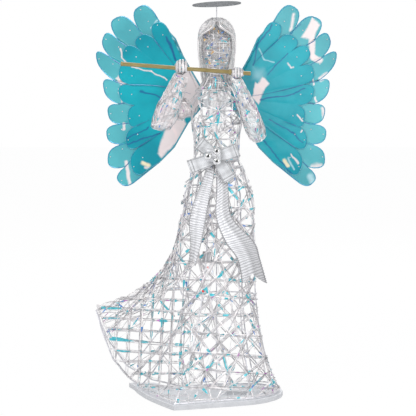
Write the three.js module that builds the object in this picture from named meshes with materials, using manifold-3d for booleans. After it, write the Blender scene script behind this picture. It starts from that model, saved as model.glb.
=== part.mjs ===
// A lighted angel figurine: stiff netting on a wire frame, film wings, a ribbon bow and a flute.
// Millimetres, +Z up. The figure faces -Y; left and right are the figure's own sides, so left is +X.
// The origin is the middle of the base, at the level that the figure rests on.
import * as THREE from 'three';
import { mergeVertices } from 'three/addons/utils/BufferGeometryUtils.js';
import Module from 'manifold-3d';

const wasm = await Module();
wasm.setup();

// Clearance between pieces that touch, and the overrun of cuts
const fitGap = 0.3;
const cutOver = 2;

// Wire, netting and light string
const frameWire = 2.6;
const netStrand = 2;
const netDepth = 1.6;
const seamGap = 0.7;
const lightWireRadius = 0.8;
const bulbRadius = 2.5;
const bulbLength = 8;

// Base plate with its battery compartment, seen from above
const footHeight = 3;
const footRadius = 8;
const rimBottom = 1.5;
const plateTop = 12;
const plateSkin = 2.4;
const plateMargin = 5;
const cellDiameter = 10.5;
const cellLength = 44.5;
const cellCount = 3;
const cellTipRadius = 2.8;
const cellTipLength = 1;
const contactThickness = 0.6;
const contactHeight = 8;
const holderWall = 1.6;
const holderBottom = 2;
const doorThickness = 1.4;
const railLip = 0.7;
const railDepth = 1.2;
const holderX = 52;
const holderY = 34;
const switchTravel = 4;
const switchKnobLength = 7;
const switchKnobWidth = 4;
const switchKnobHeight = 6;

// Skirt
const waistHeight = 556;
const waistHalfWidth = 51;
const waistHalfDepth = 40;
const hemReachRight = 150;
const hemReachFront = 110;
const hemReachBack = 112;
const trainReach = 290;
const trainDepth = 180;
const trainRise = 180;
const skirtRows = 8;

// Torso, neck and head
const torsoHeight = 160;
const torsoHalfWidth = 58;
const torsoHalfDepth = 48;
const torsoRows = 4;
const torsoColumns = 12;
const neckRadius = 25;
const neckFootRadius = 31;
const headHalfWidth = 34;
const headHeight = 114;
const neckLength = 38;
const hoodHalfWidth = 42;
const hoodHalfDepth = 47;
const hoodHeight = 145;
const hoodThickness = 1.6;
const hoodRise = 9.6;
const haloRadius = 55;
const haloThickness = 2.4;
const haloWireRadius = 1.1;
const haloRise = 37;

// Arms and flute
const armWireRadius = 1.6;
const sleeveColumns = 6;
const fluteLength = 284;
const fluteRadius = 4.5;
const fluteWall = 1.1;
const fluteRight = 208;
const fluteFront = 52;
const fluteTopHeight = 40;
const fluteSlope = 0.075;
const lipRingX = 30;
const lipRingWidth = 5;
const lipRingWall = 1.8;
const fingerWidth = 5.2;
const fingerGap = 0.9;
const fingerThickness = 4;
const fingerCount = 4;
const palmLength = 15;

// Wings
const wingReach = 278;
const wingTopHeight = 183;
const wingHeight = 411;
const wingSweep = 0.31;
const wingWireRadius = 1.2;
const filmThickness = 0.8;
const hingeX = 18;
const hingeY = 62;
const hingeLength = 62;
const pinRadius = 2;
const knuckleWall = 2.2;
const bracketThickness = 3;
const bracketHeight = 64;

// Bow
const ribbonWidth = 27;
const ribbonThickness = 0.8;
const loopHalfDepth = 3.6;
const tieWidth = 33;
const tieHeight = 29;
const tieThickness = 4;
const ballRadius = 9.5;
const ballCount = 3;
const ballSpread = 13;
const tailThickness = 0.8;
const bowHeight = 11;
const tailLength = 260;
const tailReach = 85;
const tailFront = 70;
const tailHalfWidth = 30;
const loopStandoff = 3.6;

const up = new THREE.Vector3(0, 0, 1);
const group = new THREE.Group();

function finish(color, roughness, metalness) {
  return new THREE.MeshStandardMaterial({ color, roughness, metalness });
}

const finishes = {
  netting: finish(0xe9e7ea, 0.35, 0.1),
  wire: finish(0xd9dadd, 0.35, 0.8),
  plate: finish(0xd2d4da, 0.4, 0),
  rubber: finish(0x8d9094, 0.9, 0),
  moulding: finish(0xe4e5e7, 0.5, 0),
  steel: finish(0xb9bcc0, 0.3, 1),
  cell: finish(0x4a4f55, 0.4, 0.3),
  bulb: finish(0xf3ead8, 0.2, 0),
  film: finish(0x3fb7c8, 0.15, 0.1),
  hair: finish(0xb4b6ba, 0.5, 0.3),
  gold: finish(0x96824a, 0.35, 0.8),
  satin: finish(0xd4d5d8, 0.3, 0.2),
  organza: finish(0xc9cbcf, 0.5, 0.1),
  chrome: finish(0xdfe1e4, 0.08, 1),
  glitter: finish(0x6f7477, 0.7, 0.4),
};

// Adds a named piece to the figure, or to a turned group of it.
function addPiece(name, geometry, material, parent = group) {
  const mesh = new THREE.Mesh(geometry, material);
  mesh.name = name;
  parent.add(mesh);
  return mesh;
}

function geometryFrom(vertices, triangles) {
  const geometry = new THREE.BufferGeometry();
  const flat = vertices.flatMap((vertex) => [vertex.x, vertex.y, vertex.z]);
  geometry.setAttribute('position', new THREE.Float32BufferAttribute(flat, 3));
  geometry.setIndex(triangles);
  geometry.computeVertexNormals();
  return geometry;
}

function solidFrom(geometry) {
  const bare = geometry.clone();
  bare.deleteAttribute('normal');
  bare.deleteAttribute('uv');
  const merged = mergeVertices(bare, 1e-4);
  const triVerts = new Uint32Array(merged.index.array);
  const vertProperties = new Float32Array(merged.attributes.position.array);
  return new wasm.Manifold(new wasm.Mesh({ numProp: 3, vertProperties, triVerts }));
}

function geometryOf(solid) {
  const made = solid.getMesh();
  const geometry = new THREE.BufferGeometry();
  const positions = new Float32Array(made.vertProperties);
  geometry.setAttribute('position', new THREE.BufferAttribute(positions, 3));
  geometry.setIndex(Array.from(made.triVerts));
  geometry.computeVertexNormals();
  return geometry;
}

function joined(geometries) {
  return geometryOf(geometries.map(solidFrom).reduce((whole, next) => whole.add(next)));
}

function cutFrom(geometry, cutters) {
  const whole = solidFrom(geometry);
  return geometryOf(cutters.map(solidFrom).reduce((rest, next) => rest.subtract(next), whole));
}

// A block between two levels, centred on a place in plan.
function block(width, depth, low, high, x, y) {
  const box = new THREE.BoxGeometry(width, depth, high - low);
  box.translate(x, y, (low + high) / 2);
  return box;
}

// An upright cylinder between two levels.
function post(radius, low, high, x, y, sides = 12) {
  const cylinder = new THREE.CylinderGeometry(radius, radius, high - low, sides);
  cylinder.rotateX(Math.PI / 2);
  cylinder.translate(x, y, (low + high) / 2);
  return cylinder;
}

// A wire of round section along a smooth curve through the points.
function wireAlong(points, radius, steps, sides = 6) {
  const section = new THREE.Shape();
  for (let side = 0; side < sides; side += 1) {
    const angle = (2 * Math.PI * side) / sides;
    const x = radius * Math.cos(angle);
    const y = radius * Math.sin(angle);
    if (side === 0) section.moveTo(x, y);
    else section.lineTo(x, y);
  }
  const path = new THREE.CatmullRomCurve3(points, false, 'centripetal');
  return new THREE.ExtrudeGeometry(section, { steps, extrudePath: path });
}

// Fills a flat ring of points; the triangles face the way that the ring turns anticlockwise.
function fillRing(ring, first) {
  const normal = new THREE.Vector3();
  ring.forEach((point, index) => {
    const next = ring[(index + 1) % ring.length];
    normal.add(new THREE.Vector3().crossVectors(point, next));
  });
  normal.normalize();
  const sideways = new THREE.Vector3().subVectors(ring[1], ring[0]).normalize();
  const upward = new THREE.Vector3().crossVectors(normal, sideways);
  const flat = ring.map((point) => new THREE.Vector2(point.dot(sideways), point.dot(upward)));
  return THREE.ShapeUtils.triangulateShape(flat, []).flatMap((face) => face.map((index) => index + first));
}

// A closed solid through rings of equal count, each anticlockwise as seen from the last ring.
function loft(rings, closed = false) {
  const vertices = rings.flat();
  const count = rings[0].length;
  const triangles = [];
  const spans = closed ? rings.length : rings.length - 1;
  for (let row = 0; row < spans; row += 1) {
    const low = row * count;
    const high = ((row + 1) % rings.length) * count;
    for (let index = 0; index < count; index += 1) {
      const next = (index + 1) % count;
      triangles.push(low + index, low + next, high + next);
      triangles.push(low + index, high + next, high + index);
    }
  }
  if (!closed) {
    const lid = fillRing(rings[rings.length - 1], (rings.length - 1) * count);
    const floor = fillRing(rings[0], 0);
    triangles.push(...lid);
    for (let index = 0; index < floor.length; index += 3) {
      triangles.push(floor[index], floor[index + 2], floor[index + 1]);
    }
  }
  return geometryFrom(vertices, triangles);
}

// A closed hoop of wire along an outline in the plane that a normal stands on.
function wireLoop(outline, normal, radius, sides = 4) {
  const rings = outline.map((point, index) => {
    const before = outline[(index + outline.length - 1) % outline.length];
    const after = outline[(index + 1) % outline.length];
    const along = new THREE.Vector3().subVectors(after, before).normalize();
    const aside = new THREE.Vector3().crossVectors(normal, along);
    return Array.from({ length: sides }, (_, side) => {
      const angle = (2 * Math.PI * side) / sides;
      return point.clone()
        .addScaledVector(aside, radius * Math.cos(angle))
        .addScaledVector(normal, radius * Math.sin(angle));
    });
  });
  return loft(rings, true);
}

// A site is a point with its three directions: across (along a row), fall (along a column) and out.
function siteOn(surface, u, v, step = 0.002) {
  const point = surface(u, v);
  const before = surface(Math.max(u - step, 0), v);
  const after = surface(Math.min(u + step, 1), v);
  const above = surface(u, Math.max(v - step, 0));
  const below = surface(u, Math.min(v + step, 1));
  const across = new THREE.Vector3().subVectors(after, before).normalize();
  const slope = new THREE.Vector3().subVectors(below, above);
  const out = new THREE.Vector3().crossVectors(slope, across).normalize();
  const fall = new THREE.Vector3().crossVectors(across, out);
  return { point, across, fall, out };
}

function moved(site, across, out) {
  const point = site.point.clone().addScaledVector(site.across, across).addScaledVector(site.out, out);
  return { ...site, point };
}

// A lattice of square strands: a small block at each site, and a strand to each neighbour that has one.
function strandNet({ columns, rows, site, width, depth, wrap = false, acrossAt, fallAt }) {
  const hasAcross = acrossAt ?? (() => true);
  const hasFall = fallAt ?? (() => true);
  const columnCount = wrap ? columns : columns + 1;
  const vertices = [];
  const triangles = [];
  const blocks = new Map();
  const nextColumn = (column) => (wrap ? (column + 1) % columns : column + 1);
  const priorColumn = (column) => (wrap ? (column + columns - 1) % columns : column - 1);
  const links = (column, row) => ({
    after: (wrap || column < columns) && hasAcross(column, row),
    before: (wrap || column > 0) && hasAcross(priorColumn(column), row),
    below: row < rows && hasFall(column, row),
    above: row > 0 && hasFall(column, row - 1),
  });
  const face = (list) => triangles.push(list[0], list[1], list[2], list[0], list[2], list[3]);
  const corner = (first, fall, across, out) => first + 4 * fall + 2 * across + out;
  for (let column = 0; column < columnCount; column += 1) {
    for (let row = 0; row <= rows; row += 1) {
      const link = links(column, row);
      if (!Object.values(link).some(Boolean)) continue;
      const place = site(column, row);
      const first = vertices.length;
      for (const fall of [-0.5, 0.5]) {
        for (const across of [-0.5, 0.5]) {
          for (const out of [-0.5, 0.5]) {
            vertices.push(place.point.clone()
              .addScaledVector(place.fall, fall * width)
              .addScaledVector(place.across, across * width)
              .addScaledVector(place.out, out * depth));
          }
        }
      }
      blocks.set(`${column},${row}`, first);
      const at = (fall, across, out) => corner(first, fall, across, out);
      face([at(0, 0, 1), at(1, 0, 1), at(1, 1, 1), at(0, 1, 1)]);
      face([at(0, 0, 0), at(0, 1, 0), at(1, 1, 0), at(1, 0, 0)]);
      if (!link.below) face([at(1, 0, 0), at(1, 1, 0), at(1, 1, 1), at(1, 0, 1)]);
      if (!link.above) face([at(0, 0, 0), at(0, 0, 1), at(0, 1, 1), at(0, 1, 0)]);
      if (!link.after) face([at(0, 1, 0), at(0, 1, 1), at(1, 1, 1), at(1, 1, 0)]);
      if (!link.before) face([at(0, 0, 0), at(1, 0, 0), at(1, 0, 1), at(0, 0, 1)]);
    }
  }
  const acrossRing = [[0, 0], [0, 1], [1, 1], [1, 0]];
  const strand = (from, to) => {
    for (let side = 0; side < from.length; side += 1) {
      const next = (side + 1) % from.length;
      face([from[side], from[next], to[next], to[side]]);
    }
  };
  for (const [key, first] of blocks) {
    const [column, row] = key.split(',').map(Number);
    const link = links(column, row);
    if (link.after) {
      const other = blocks.get(`${nextColumn(column)},${row}`);
      strand(
        acrossRing.map(([fall, out]) => corner(first, fall, 1, out)),
        acrossRing.map(([fall, out]) => corner(other, fall, 0, out)),
      );
    }
    if (link.below) {
      const other = blocks.get(`${column},${row + 1}`);
      strand(
        acrossRing.map(([out, across]) => corner(first, 1, across, out)),
        acrossRing.map(([out, across]) => corner(other, 0, across, out)),
      );
    }
  }
  return geometryFrom(vertices, triangles);
}

// A sheet of even thickness over a grid of sites.
function sheet({ columns, rows, site, thickness }) {
  const vertices = [];
  const triangles = [];
  const face = (list) => triangles.push(list[0], list[1], list[2], list[0], list[2], list[3]);
  for (let row = 0; row <= rows; row += 1) {
    for (let column = 0; column <= columns; column += 1) {
      const place = site(column, row);
      vertices.push(place.point.clone().addScaledVector(place.out, -thickness / 2));
      vertices.push(place.point.clone().addScaledVector(place.out, thickness / 2));
    }
  }
  const at = (column, row, out) => 2 * (row * (columns + 1) + column) + out;
  for (let row = 0; row < rows; row += 1) {
    for (let column = 0; column < columns; column += 1) {
      face([at(column, row, 1), at(column, row + 1, 1), at(column + 1, row + 1, 1), at(column + 1, row, 1)]);
      face([at(column, row, 0), at(column + 1, row, 0), at(column + 1, row + 1, 0), at(column, row + 1, 0)]);
    }
  }
  for (let column = 0; column < columns; column += 1) {
    face([at(column, rows, 0), at(column + 1, rows, 0), at(column + 1, rows, 1), at(column, rows, 1)]);
    face([at(column, 0, 0), at(column, 0, 1), at(column + 1, 0, 1), at(column + 1, 0, 0)]);
  }
  for (let row = 0; row < rows; row += 1) {
    face([at(columns, row, 0), at(columns, row, 1), at(columns, row + 1, 1), at(columns, row + 1, 0)]);
    face([at(0, row, 0), at(0, row + 1, 0), at(0, row + 1, 1), at(0, row, 1)]);
  }
  return geometryFrom(vertices, triangles);
}

// Skirt: four panels between seams. Each hem is a curve through points given as shares of the hem's reaches,
// and each column of the skirt falls from the waist's ellipse to its hem point.
const bulbInset = netDepth / 2 + fitGap + frameWire * Math.SQRT2 + fitGap + bulbRadius;
const frameInset = netDepth / 2 + 2 * fitGap + frameWire * Math.SQRT1_2;
const hemLevel = plateTop + fitGap + frameInset * Math.SQRT1_2 + frameWire * Math.SQRT1_2 + fitGap;

// How the skirt falls at each seam: the share of its flare at the hip, an even share, and the rest's power
const hipEndShare = 0.22;
const trainEase = 1.5;
const seamFlares = {
  front: { hip: 0.12, even: 0, power: 2.9 },
  left: { hip: 0.37, even: 0, power: 4.5 },
  back: { hip: 0.37, even: 0, power: 4.5 },
  train: { hip: 0, even: 0.3, power: 5.5 },
};

const frontCorner = { right: -0.63, front: 1 };
const sidePoint = { right: 1, back: 0.45 };
const backPoint = { right: 0, back: 1 };

// Points of a hem: along the right reach, towards the front or back, and up the train's rise
const hemShares = {
  frontLeft: [
    { right: frontCorner.right, front: frontCorner.front },
    { right: -0.3, front: 0.86 },
    { right: 0, front: 0.72 },
    { right: 0.33, front: 0.58 },
    { right: 0.62, front: 0.41 },
    { right: 0.84, front: 0.12 },
    { right: 0.97, back: 0.2 },
    { right: sidePoint.right, back: sidePoint.back },
  ],
  backLeft: [
    { right: sidePoint.right, back: sidePoint.back },
    { right: 0.93, back: 0.82 },
    { right: 0.7, back: 1 },
    { right: 0.35, back: 1.02 },
    { right: backPoint.right, back: backPoint.back },
  ],
  backRight: [
    { right: backPoint.right, back: backPoint.back },
    { right: -0.58, back: 0.78 },
    { right: -0.83, back: 0.93 },
    { train: 0.53, sweep: 0.79, rise: 0.02 },
    { train: 0.63, sweep: 0.95, rise: 0.06 },
    { train: 0.74, sweep: 1.02, rise: 0.17 },
    { train: 0.87, sweep: 0.97, rise: 0.45 },
    { train: 1, sweep: 0.83, rise: 1 },
  ],
  frontRight: [
    { train: 1, sweep: 0.83, rise: 1 },
    { train: 0.977, sweep: 0.78, rise: 0.86 },
    { train: 0.94, sweep: 0.72, rise: 0.68 },
    { train: 0.905, sweep: 0.69, rise: 0.52 },
    { train: 0.855, sweep: 0.68, rise: 0.32 },
    { train: 0.775, sweep: 0.7, rise: 0.12 },
    { train: 0.69, sweep: 0.74 },
    { train: 0.63, sweep: 0.43 },
    { train: 0.545, sweep: 0.04 },
    { train: 0.435, front: 0.5 },
    { right: frontCorner.right, front: frontCorner.front },
  ],
};

const panels = [
  { name: 'front_left', hem: hemShares.frontLeft, seams: ['front', 'left'], angles: [-100, 0], columns: 5 },
  { name: 'back_left', hem: hemShares.backLeft, seams: ['left', 'back'], angles: [0, 90], columns: 4 },
  { name: 'back_right', hem: hemShares.backRight, seams: ['back', 'train'], angles: [90, 175], columns: 5 },
  {
    name: 'front_right',
    hem: hemShares.frontRight,
    seams: ['train', 'front'],
    angles: [175, 260],
    columns: 7,
  },
];

function hemPoint({ right = 0, front = 0, back = 0, train = 0, sweep = 0, rise = 0 }) {
  return new THREE.Vector3(
    right * hemReachRight - train * trainReach,
    back * hemReachBack + sweep * trainDepth - front * hemReachFront,
    hemLevel + rise * trainRise,
  );
}

for (const panel of panels) {
  panel.curve = new THREE.CatmullRomCurve3(panel.hem.map(hemPoint), false, 'centripetal');
}

// The share of the way from the waist to the hem that the skirt has spread at v of its fall
function flareShare(panel, u, v) {
  const [from, to] = panel.seams.map((seam) => seamFlares[seam]);
  const share = panel.seams[0] === 'train' ? 1 - (1 - u) ** trainEase : u ** trainEase;
  const hip = THREE.MathUtils.lerp(from.hip, to.hip, share);
  const even = THREE.MathUtils.lerp(from.even, to.even, share);
  const power = THREE.MathUtils.lerp(from.power, to.power, share);
  const hipRise = 1 - (1 - Math.min(v / hipEndShare, 1)) ** 2;
  return hip * hipRise + even * v + (1 - hip - even) * v ** power;
}

function skirtPoint(panel, u, v) {
  const angle = THREE.MathUtils.degToRad(THREE.MathUtils.lerp(...panel.angles, u));
  const hem = panel.curve.getPointAt(THREE.MathUtils.clamp(u, 0, 1));
  const flare = flareShare(panel, u, v);
  return new THREE.Vector3(
    THREE.MathUtils.lerp(waistHalfWidth * Math.cos(angle), hem.x, flare),
    THREE.MathUtils.lerp(waistHalfDepth * Math.sin(angle), hem.y, flare),
    THREE.MathUtils.lerp(waistHeight, hem.z, v),
  );
}

const rowShare = (row) => 1 - (1 - row / skirtRows) ** 1.25;

function skirtSite(panel, column, row) {
  return siteOn((u, v) => skirtPoint(panel, u, v), column / panel.columns, rowShare(row));
}

const panelAfter = (panel) => panels[(panels.indexOf(panel) + 1) % panels.length];
const panelBefore = (panel) => panels[(panels.indexOf(panel) + panels.length - 1) % panels.length];

// How far a panel's edge strand stands back from the seam, more where the panels meet at a fold.
function seamSetback(one, other) {
  const turn = one.across.dot(other.across);
  const foldSlope = Math.sqrt((1 - turn) / (1 + turn));
  return (netStrand + seamGap) / 2 + ((netDepth + seamGap) / 2) * foldSlope;
}

function netSite(panel, column, row) {
  const site = skirtSite(panel, column, row);
  if (column === 0) {
    const before = panelBefore(panel);
    return moved(site, seamSetback(site, skirtSite(before, before.columns, row)), 0);
  }
  if (column === panel.columns) {
    return moved(site, -seamSetback(site, skirtSite(panelAfter(panel), 0, row)), 0);
  }
  return site;
}

for (const panel of panels) {
  const geometry = strandNet({
    columns: panel.columns,
    rows: skirtRows,
    site: (column, row) => netSite(panel, column, row),
    width: netStrand,
    depth: netDepth,
  });
  addPiece(`skirt_net_${panel.name}`, geometry, finishes.netting);
}

// The skirt frame runs on the same grid inside the netting: ribs at the seams and between, and hoops.
const skirtColumns = panels.flatMap((panel) =>
  Array.from({ length: panel.columns }, (_, column) => ({
    panel,
    column,
    rib: column === 0 || column === Math.ceil(panel.columns / 2),
  })));
const hoopRows = [0, 4, skirtRows];

// A site inside the skirt: at a seam it looks along the middle between both panels.
function insideSite({ panel, column }, row, inset) {
  const site = skirtSite(panel, column, row);
  if (column > 0) return moved(site, 0, -inset);
  const before = panelBefore(panel);
  const other = skirtSite(before, before.columns, row);
  const out = new THREE.Vector3().addVectors(site.out, other.out).normalize();
  const across = new THREE.Vector3().addVectors(site.across, other.across);
  across.addScaledVector(out, -across.dot(out)).normalize();
  const fall = new THREE.Vector3().crossVectors(across, out);
  const square = { point: site.point, across, fall, out };
  return moved(square, 0, -inset / Math.max(out.dot(site.out), 0.25));
}

addPiece('skirt_frame', strandNet({
  columns: skirtColumns.length,
  rows: skirtRows,
  wrap: true,
  site: (column, row) => insideSite(skirtColumns[column], row, frameInset),
  width: frameWire,
  depth: frameWire,
  acrossAt: (column, row) => hoopRows.includes(row),
  fallAt: (column) => skirtColumns[column].rib,
}), finishes.wire);

// Base plate: its outline follows the hem where the hem is at plate level.
const plateOutline = [];
for (const panel of panels) {
  for (let column = 0; column < 2 * panel.columns; column += 1) {
    const point = panel.curve.getPointAt(column / (2 * panel.columns));
    if (point.z < hemLevel + plateTop / 2) plateOutline.push(new THREE.Vector2(point.x, point.y));
  }
}

function outlineRing(level, margin) {
  return plateOutline.map((point, index) => {
    const before = plateOutline[(index + plateOutline.length - 1) % plateOutline.length];
    const after = plateOutline[(index + 1) % plateOutline.length];
    const along = new THREE.Vector2().subVectors(after, before).normalize();
    return new THREE.Vector3(point.x + along.y * margin, point.y - along.x * margin, level);
  });
}

const plateCeiling = plateTop - plateSkin;
const plateShell = loft([
  outlineRing(plateCeiling, plateMargin - plateSkin),
  outlineRing(rimBottom, plateMargin - plateSkin),
  outlineRing(rimBottom, plateMargin),
  outlineRing(plateTop, plateMargin),
]);

// Battery holder: cells side by side with a contact plate at each end, over a door that slides in its walls
const bayWidth = cellCount * (cellDiameter + fitGap) + fitGap;
const bayLength = cellLength + cellTipLength + 2 * contactThickness + 4 * fitGap;
const holderWidth = bayWidth + 2 * holderWall;
const holderLength = bayLength + 2 * holderWall;
const doorBottom = holderBottom + railLip + fitGap;
const doorTop = doorBottom + doorThickness;
const cellBottom = doorTop + fitGap;
const bayTop = cellBottom + cellDiameter + fitGap;
const holderTop = bayTop + holderWall;
const switchBlockWidth = switchKnobWidth + 2 * fitGap + 2 * holderWall;
const switchY = holderY - holderWidth / 2 - switchBlockWidth / 2;
const switchSlotLength = switchKnobLength + switchTravel + 2 * fitGap;
const switchTop = holderBottom + switchKnobHeight;

const holderBody = joined([
  block(holderLength, holderWidth, holderBottom, holderTop, holderX, holderY),
  block(holderLength / 2, switchBlockWidth + fitGap, holderBottom, holderTop, holderX, switchY + fitGap / 2),
]);
const doorSlotWidth = bayWidth + 2 * railDepth;
addPiece('battery_holder', cutFrom(holderBody, [
  block(bayLength, bayWidth, holderBottom - cutOver, bayTop, holderX, holderY),
  block(
    holderLength,
    doorSlotWidth,
    doorBottom - fitGap,
    doorTop + fitGap,
    holderX + holderWall,
    holderY,
  ),
  block(
    holderWall + cutOver,
    bayWidth,
    holderBottom - cutOver,
    doorBottom,
    holderX + holderLength / 2 - (holderWall - cutOver) / 2,
    holderY,
  ),
  block(
    switchSlotLength,
    switchKnobWidth + 2 * fitGap,
    holderBottom - cutOver,
    switchTop + fitGap,
    holderX,
    switchY,
  ),
]), finishes.moulding);

// The lid of the compartment rises in the plate over the holder.
const lidWidth = holderLength + 2 * (holderWall + fitGap);
const lidFront = switchY - switchBlockWidth / 2;
const lidBack = holderY + holderWidth / 2;
const lidDepth = lidBack - lidFront + 2 * (holderWall + fitGap);
const lidY = (lidFront + lidBack) / 2;
const lidTop = holderTop + fitGap + plateSkin;
const footShares = [
  {},
  { right: 0.775, back: 0.215 },
  { right: -0.52, front: 0.69 },
  { train: 0.572, sweep: 0.578 },
];
const footPlaces = footShares.map(hemPoint);
const bossRadius = footRadius - holderWall;
const bossBottom = footHeight + fitGap;

addPiece('base_plate', cutFrom(joined([
  plateShell,
  block(lidWidth, lidDepth, plateCeiling + plateSkin / 2, lidTop, holderX, lidY),
  ...footPlaces.map(({ x, y }) => post(bossRadius, bossBottom, plateTop - plateSkin / 2, x, y)),
]), [
  block(
    holderLength + 2 * fitGap,
    lidDepth - 2 * holderWall,
    plateCeiling - cutOver,
    holderTop + fitGap,
    holderX,
    lidY,
  ),
]), finishes.plate);

footPlaces.forEach(({ x, y }, index) => {
  const chamfer = footHeight / 3;
  const profile = [
    new THREE.Vector2(0, 0),
    new THREE.Vector2(footRadius - chamfer, 0),
    new THREE.Vector2(footRadius, chamfer),
    new THREE.Vector2(footRadius, footHeight),
    new THREE.Vector2(0, footHeight),
  ];
  const foot = new THREE.LatheGeometry(profile, 12);
  foot.rotateX(Math.PI / 2);
  foot.translate(x, y, 0);
  addPiece(`foot_${index + 1}`, foot, finishes.rubber);
});

// Cells alternate end for end.
for (let cell = 0; cell < cellCount; cell += 1) {
  const radius = cellDiameter / 2;
  const profile = [
    new THREE.Vector2(0, -cellLength / 2),
    new THREE.Vector2(radius, -cellLength / 2),
    new THREE.Vector2(radius, cellLength / 2),
    new THREE.Vector2(cellTipRadius, cellLength / 2),
    new THREE.Vector2(cellTipRadius, cellLength / 2 + cellTipLength),
    new THREE.Vector2(0, cellLength / 2 + cellTipLength),
  ];
  const body = new THREE.LatheGeometry(profile, 10);
  body.translate(0, -cellTipLength / 2, 0);
  body.rotateZ(cell % 2 ? Math.PI / 2 : -Math.PI / 2);
  const y = holderY + (cell - (cellCount - 1) / 2) * (cellDiameter + fitGap);
  body.translate(holderX, y, cellBottom + radius);
  addPiece(`battery_cell_${cell + 1}`, body, finishes.cell);
}

for (const [name, end] of [['contact_plate_inner', -1], ['contact_plate_outer', 1]]) {
  const x = holderX + end * (bayLength / 2 - fitGap - contactThickness / 2);
  const contactDepth = bayWidth - 2 * fitGap;
  const low = bayTop - fitGap - contactHeight;
  addPiece(name, block(contactThickness, contactDepth, low, bayTop - fitGap, x, holderY), finishes.steel);
}

const doorLength = holderLength - holderWall - 2 * fitGap;
const doorX = holderX + holderWall / 2;
const gripWidth = bayWidth / 2;
const gripRidge = railLip / 2;
const gripRidges = [0, 1, 2].map((ridge) =>
  block(
    gripRidge,
    gripWidth,
    doorBottom - gripRidge,
    doorBottom + gripRidge,
    doorX + doorLength / 2 - holderWall - ridge * 4 * gripRidge,
    holderY,
  ));
addPiece('battery_door', joined([
  block(doorLength, doorSlotWidth - 2 * fitGap, doorBottom, doorTop, doorX, holderY),
  ...gripRidges,
]), finishes.moulding);

addPiece('power_switch', block(
  switchKnobLength,
  switchKnobWidth,
  holderBottom,
  switchTop,
  holderX - switchTravel / 2,
  switchY,
), finishes.cell);

// Torso: rings of shares from the neck down to the waist, netted front and back over a frame.
const waistLift = frameWire * Math.SQRT2 + fitGap;
const torsoFoot = waistHeight + waistLift;
const torsoTop = torsoFoot + torsoHeight;
const neckShare = 0.6;
const waistWidthShare = waistHalfWidth / torsoHalfWidth;
const waistDepthShare = waistHalfDepth / torsoHalfDepth;
const torsoShares = [
  [neckShare, neckShare],
  [1.02, 0.8],
  [1, 1],
  [0.98, 0.93],
  [0.91, 0.86],
  [0.88, 0.83],
  [waistWidthShare, waistDepthShare],
];
const torsoProfile = new THREE.SplineCurve(
  torsoShares.map(([width, depth]) => new THREE.Vector2(width, depth)),
);

function torsoPoint(turn, v) {
  const share = torsoProfile.getPoint(THREE.MathUtils.clamp(v, 0, 1));
  const angle = 2 * Math.PI * turn;
  return new THREE.Vector3(
    torsoHalfWidth * share.x * Math.cos(angle),
    torsoHalfDepth * share.y * Math.sin(angle),
    torsoTop - torsoHeight * v,
  );
}

function torsoSite(column, row) {
  return siteOn((u, v) => torsoPoint(u, v), column / torsoColumns, row / torsoRows);
}

const halfTorso = torsoColumns / 2;
for (const [name, first] of [['torso_net_back', 0], ['torso_net_front', halfTorso]]) {
  addPiece(name, strandNet({
    columns: halfTorso,
    rows: torsoRows,
    site: (column, row) => {
      const setback = (netStrand + fitGap) / 2;
      if (column === 0) return moved(torsoSite(first, row), setback, 0);
      if (column === halfTorso) return moved(torsoSite(first + column, row), -setback, 0);
      return torsoSite(first + column, row);
    },
    width: netStrand,
    depth: netDepth,
  }), finishes.netting);
}

addPiece('torso_frame', strandNet({
  columns: torsoColumns,
  rows: torsoRows,
  wrap: true,
  site: (column, row) => moved(torsoSite(column, row), 0, -frameInset),
  width: frameWire,
  depth: frameWire,
  acrossAt: (column, row) => row === 0 || row === torsoRows,
  fallAt: (column) => column % 3 === 0,
}), finishes.wire);

// Head: a turned form whose collar stands in the torso's neck hoop
const collarRadius = torsoHalfDepth * neckShare - frameInset - frameWire / 2 - fitGap;
const neckFoot = torsoTop - frameWire;
const headTop = neckFoot + neckLength + headHeight;
const headShares = [
  [0.66, 0.02],
  [0.84, 0.16],
  [0.97, 0.36],
  [1, 0.58],
  [0.9, 0.79],
  [0.62, 0.94],
];
const headProfile = [
  new THREE.Vector2(0, neckFoot),
  new THREE.Vector2(collarRadius, neckFoot),
  new THREE.Vector2(collarRadius, neckFoot + 2 * frameWire),
  new THREE.Vector2(neckFootRadius, neckFoot + 2 * frameWire),
  new THREE.Vector2(neckRadius, neckFoot + neckLength / 2),
  new THREE.Vector2(neckRadius, neckFoot + neckLength - frameWire),
  ...headShares.map(([width, height]) =>
    new THREE.Vector2(headHalfWidth * width, neckFoot + neckLength + headHeight * height)),
  new THREE.Vector2(0, headTop),
];
const headForm = new THREE.LatheGeometry(headProfile, 14);
headForm.rotateX(Math.PI / 2);
addPiece('head_form', headForm, finishes.netting);

// Hood: a thin shell that hangs from the crown round the back, with a pointed opening at the face
const hoodTop = headTop + hoodRise;
const hoodColumns = 12;
const hoodRows = 7;
const hoodWidestShare = 0.38;
const hoodFootShare = 0.76;
const openingTopShare = 0.1;
const openingHalfAngle = 74;
const slitHalfAngle = 2;
const crownRadius = haloWireRadius + 1.5 * fitGap;

function hoodPoint(u, v) {
  const climb = Math.min(v / hoodWidestShare, 1);
  const drop = Math.max((v - hoodWidestShare) / (1 - hoodWidestShare), 0);
  const share = Math.sqrt(1 - (1 - climb) ** 2.5) * (1 - (1 - hoodFootShare) * drop ** 1.6);
  const openness = THREE.MathUtils.smoothstep(v, openingTopShare, hoodWidestShare);
  const edge = THREE.MathUtils.lerp(slitHalfAngle, openingHalfAngle, openness);
  const angle = THREE.MathUtils.degToRad(THREE.MathUtils.lerp(edge - 90, 270 - edge, u));
  return new THREE.Vector3(
    Math.max(hoodHalfWidth * share, crownRadius) * Math.cos(angle),
    Math.max(hoodHalfDepth * share, crownRadius) * Math.sin(angle),
    hoodTop - hoodHeight * v,
  );
}

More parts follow.
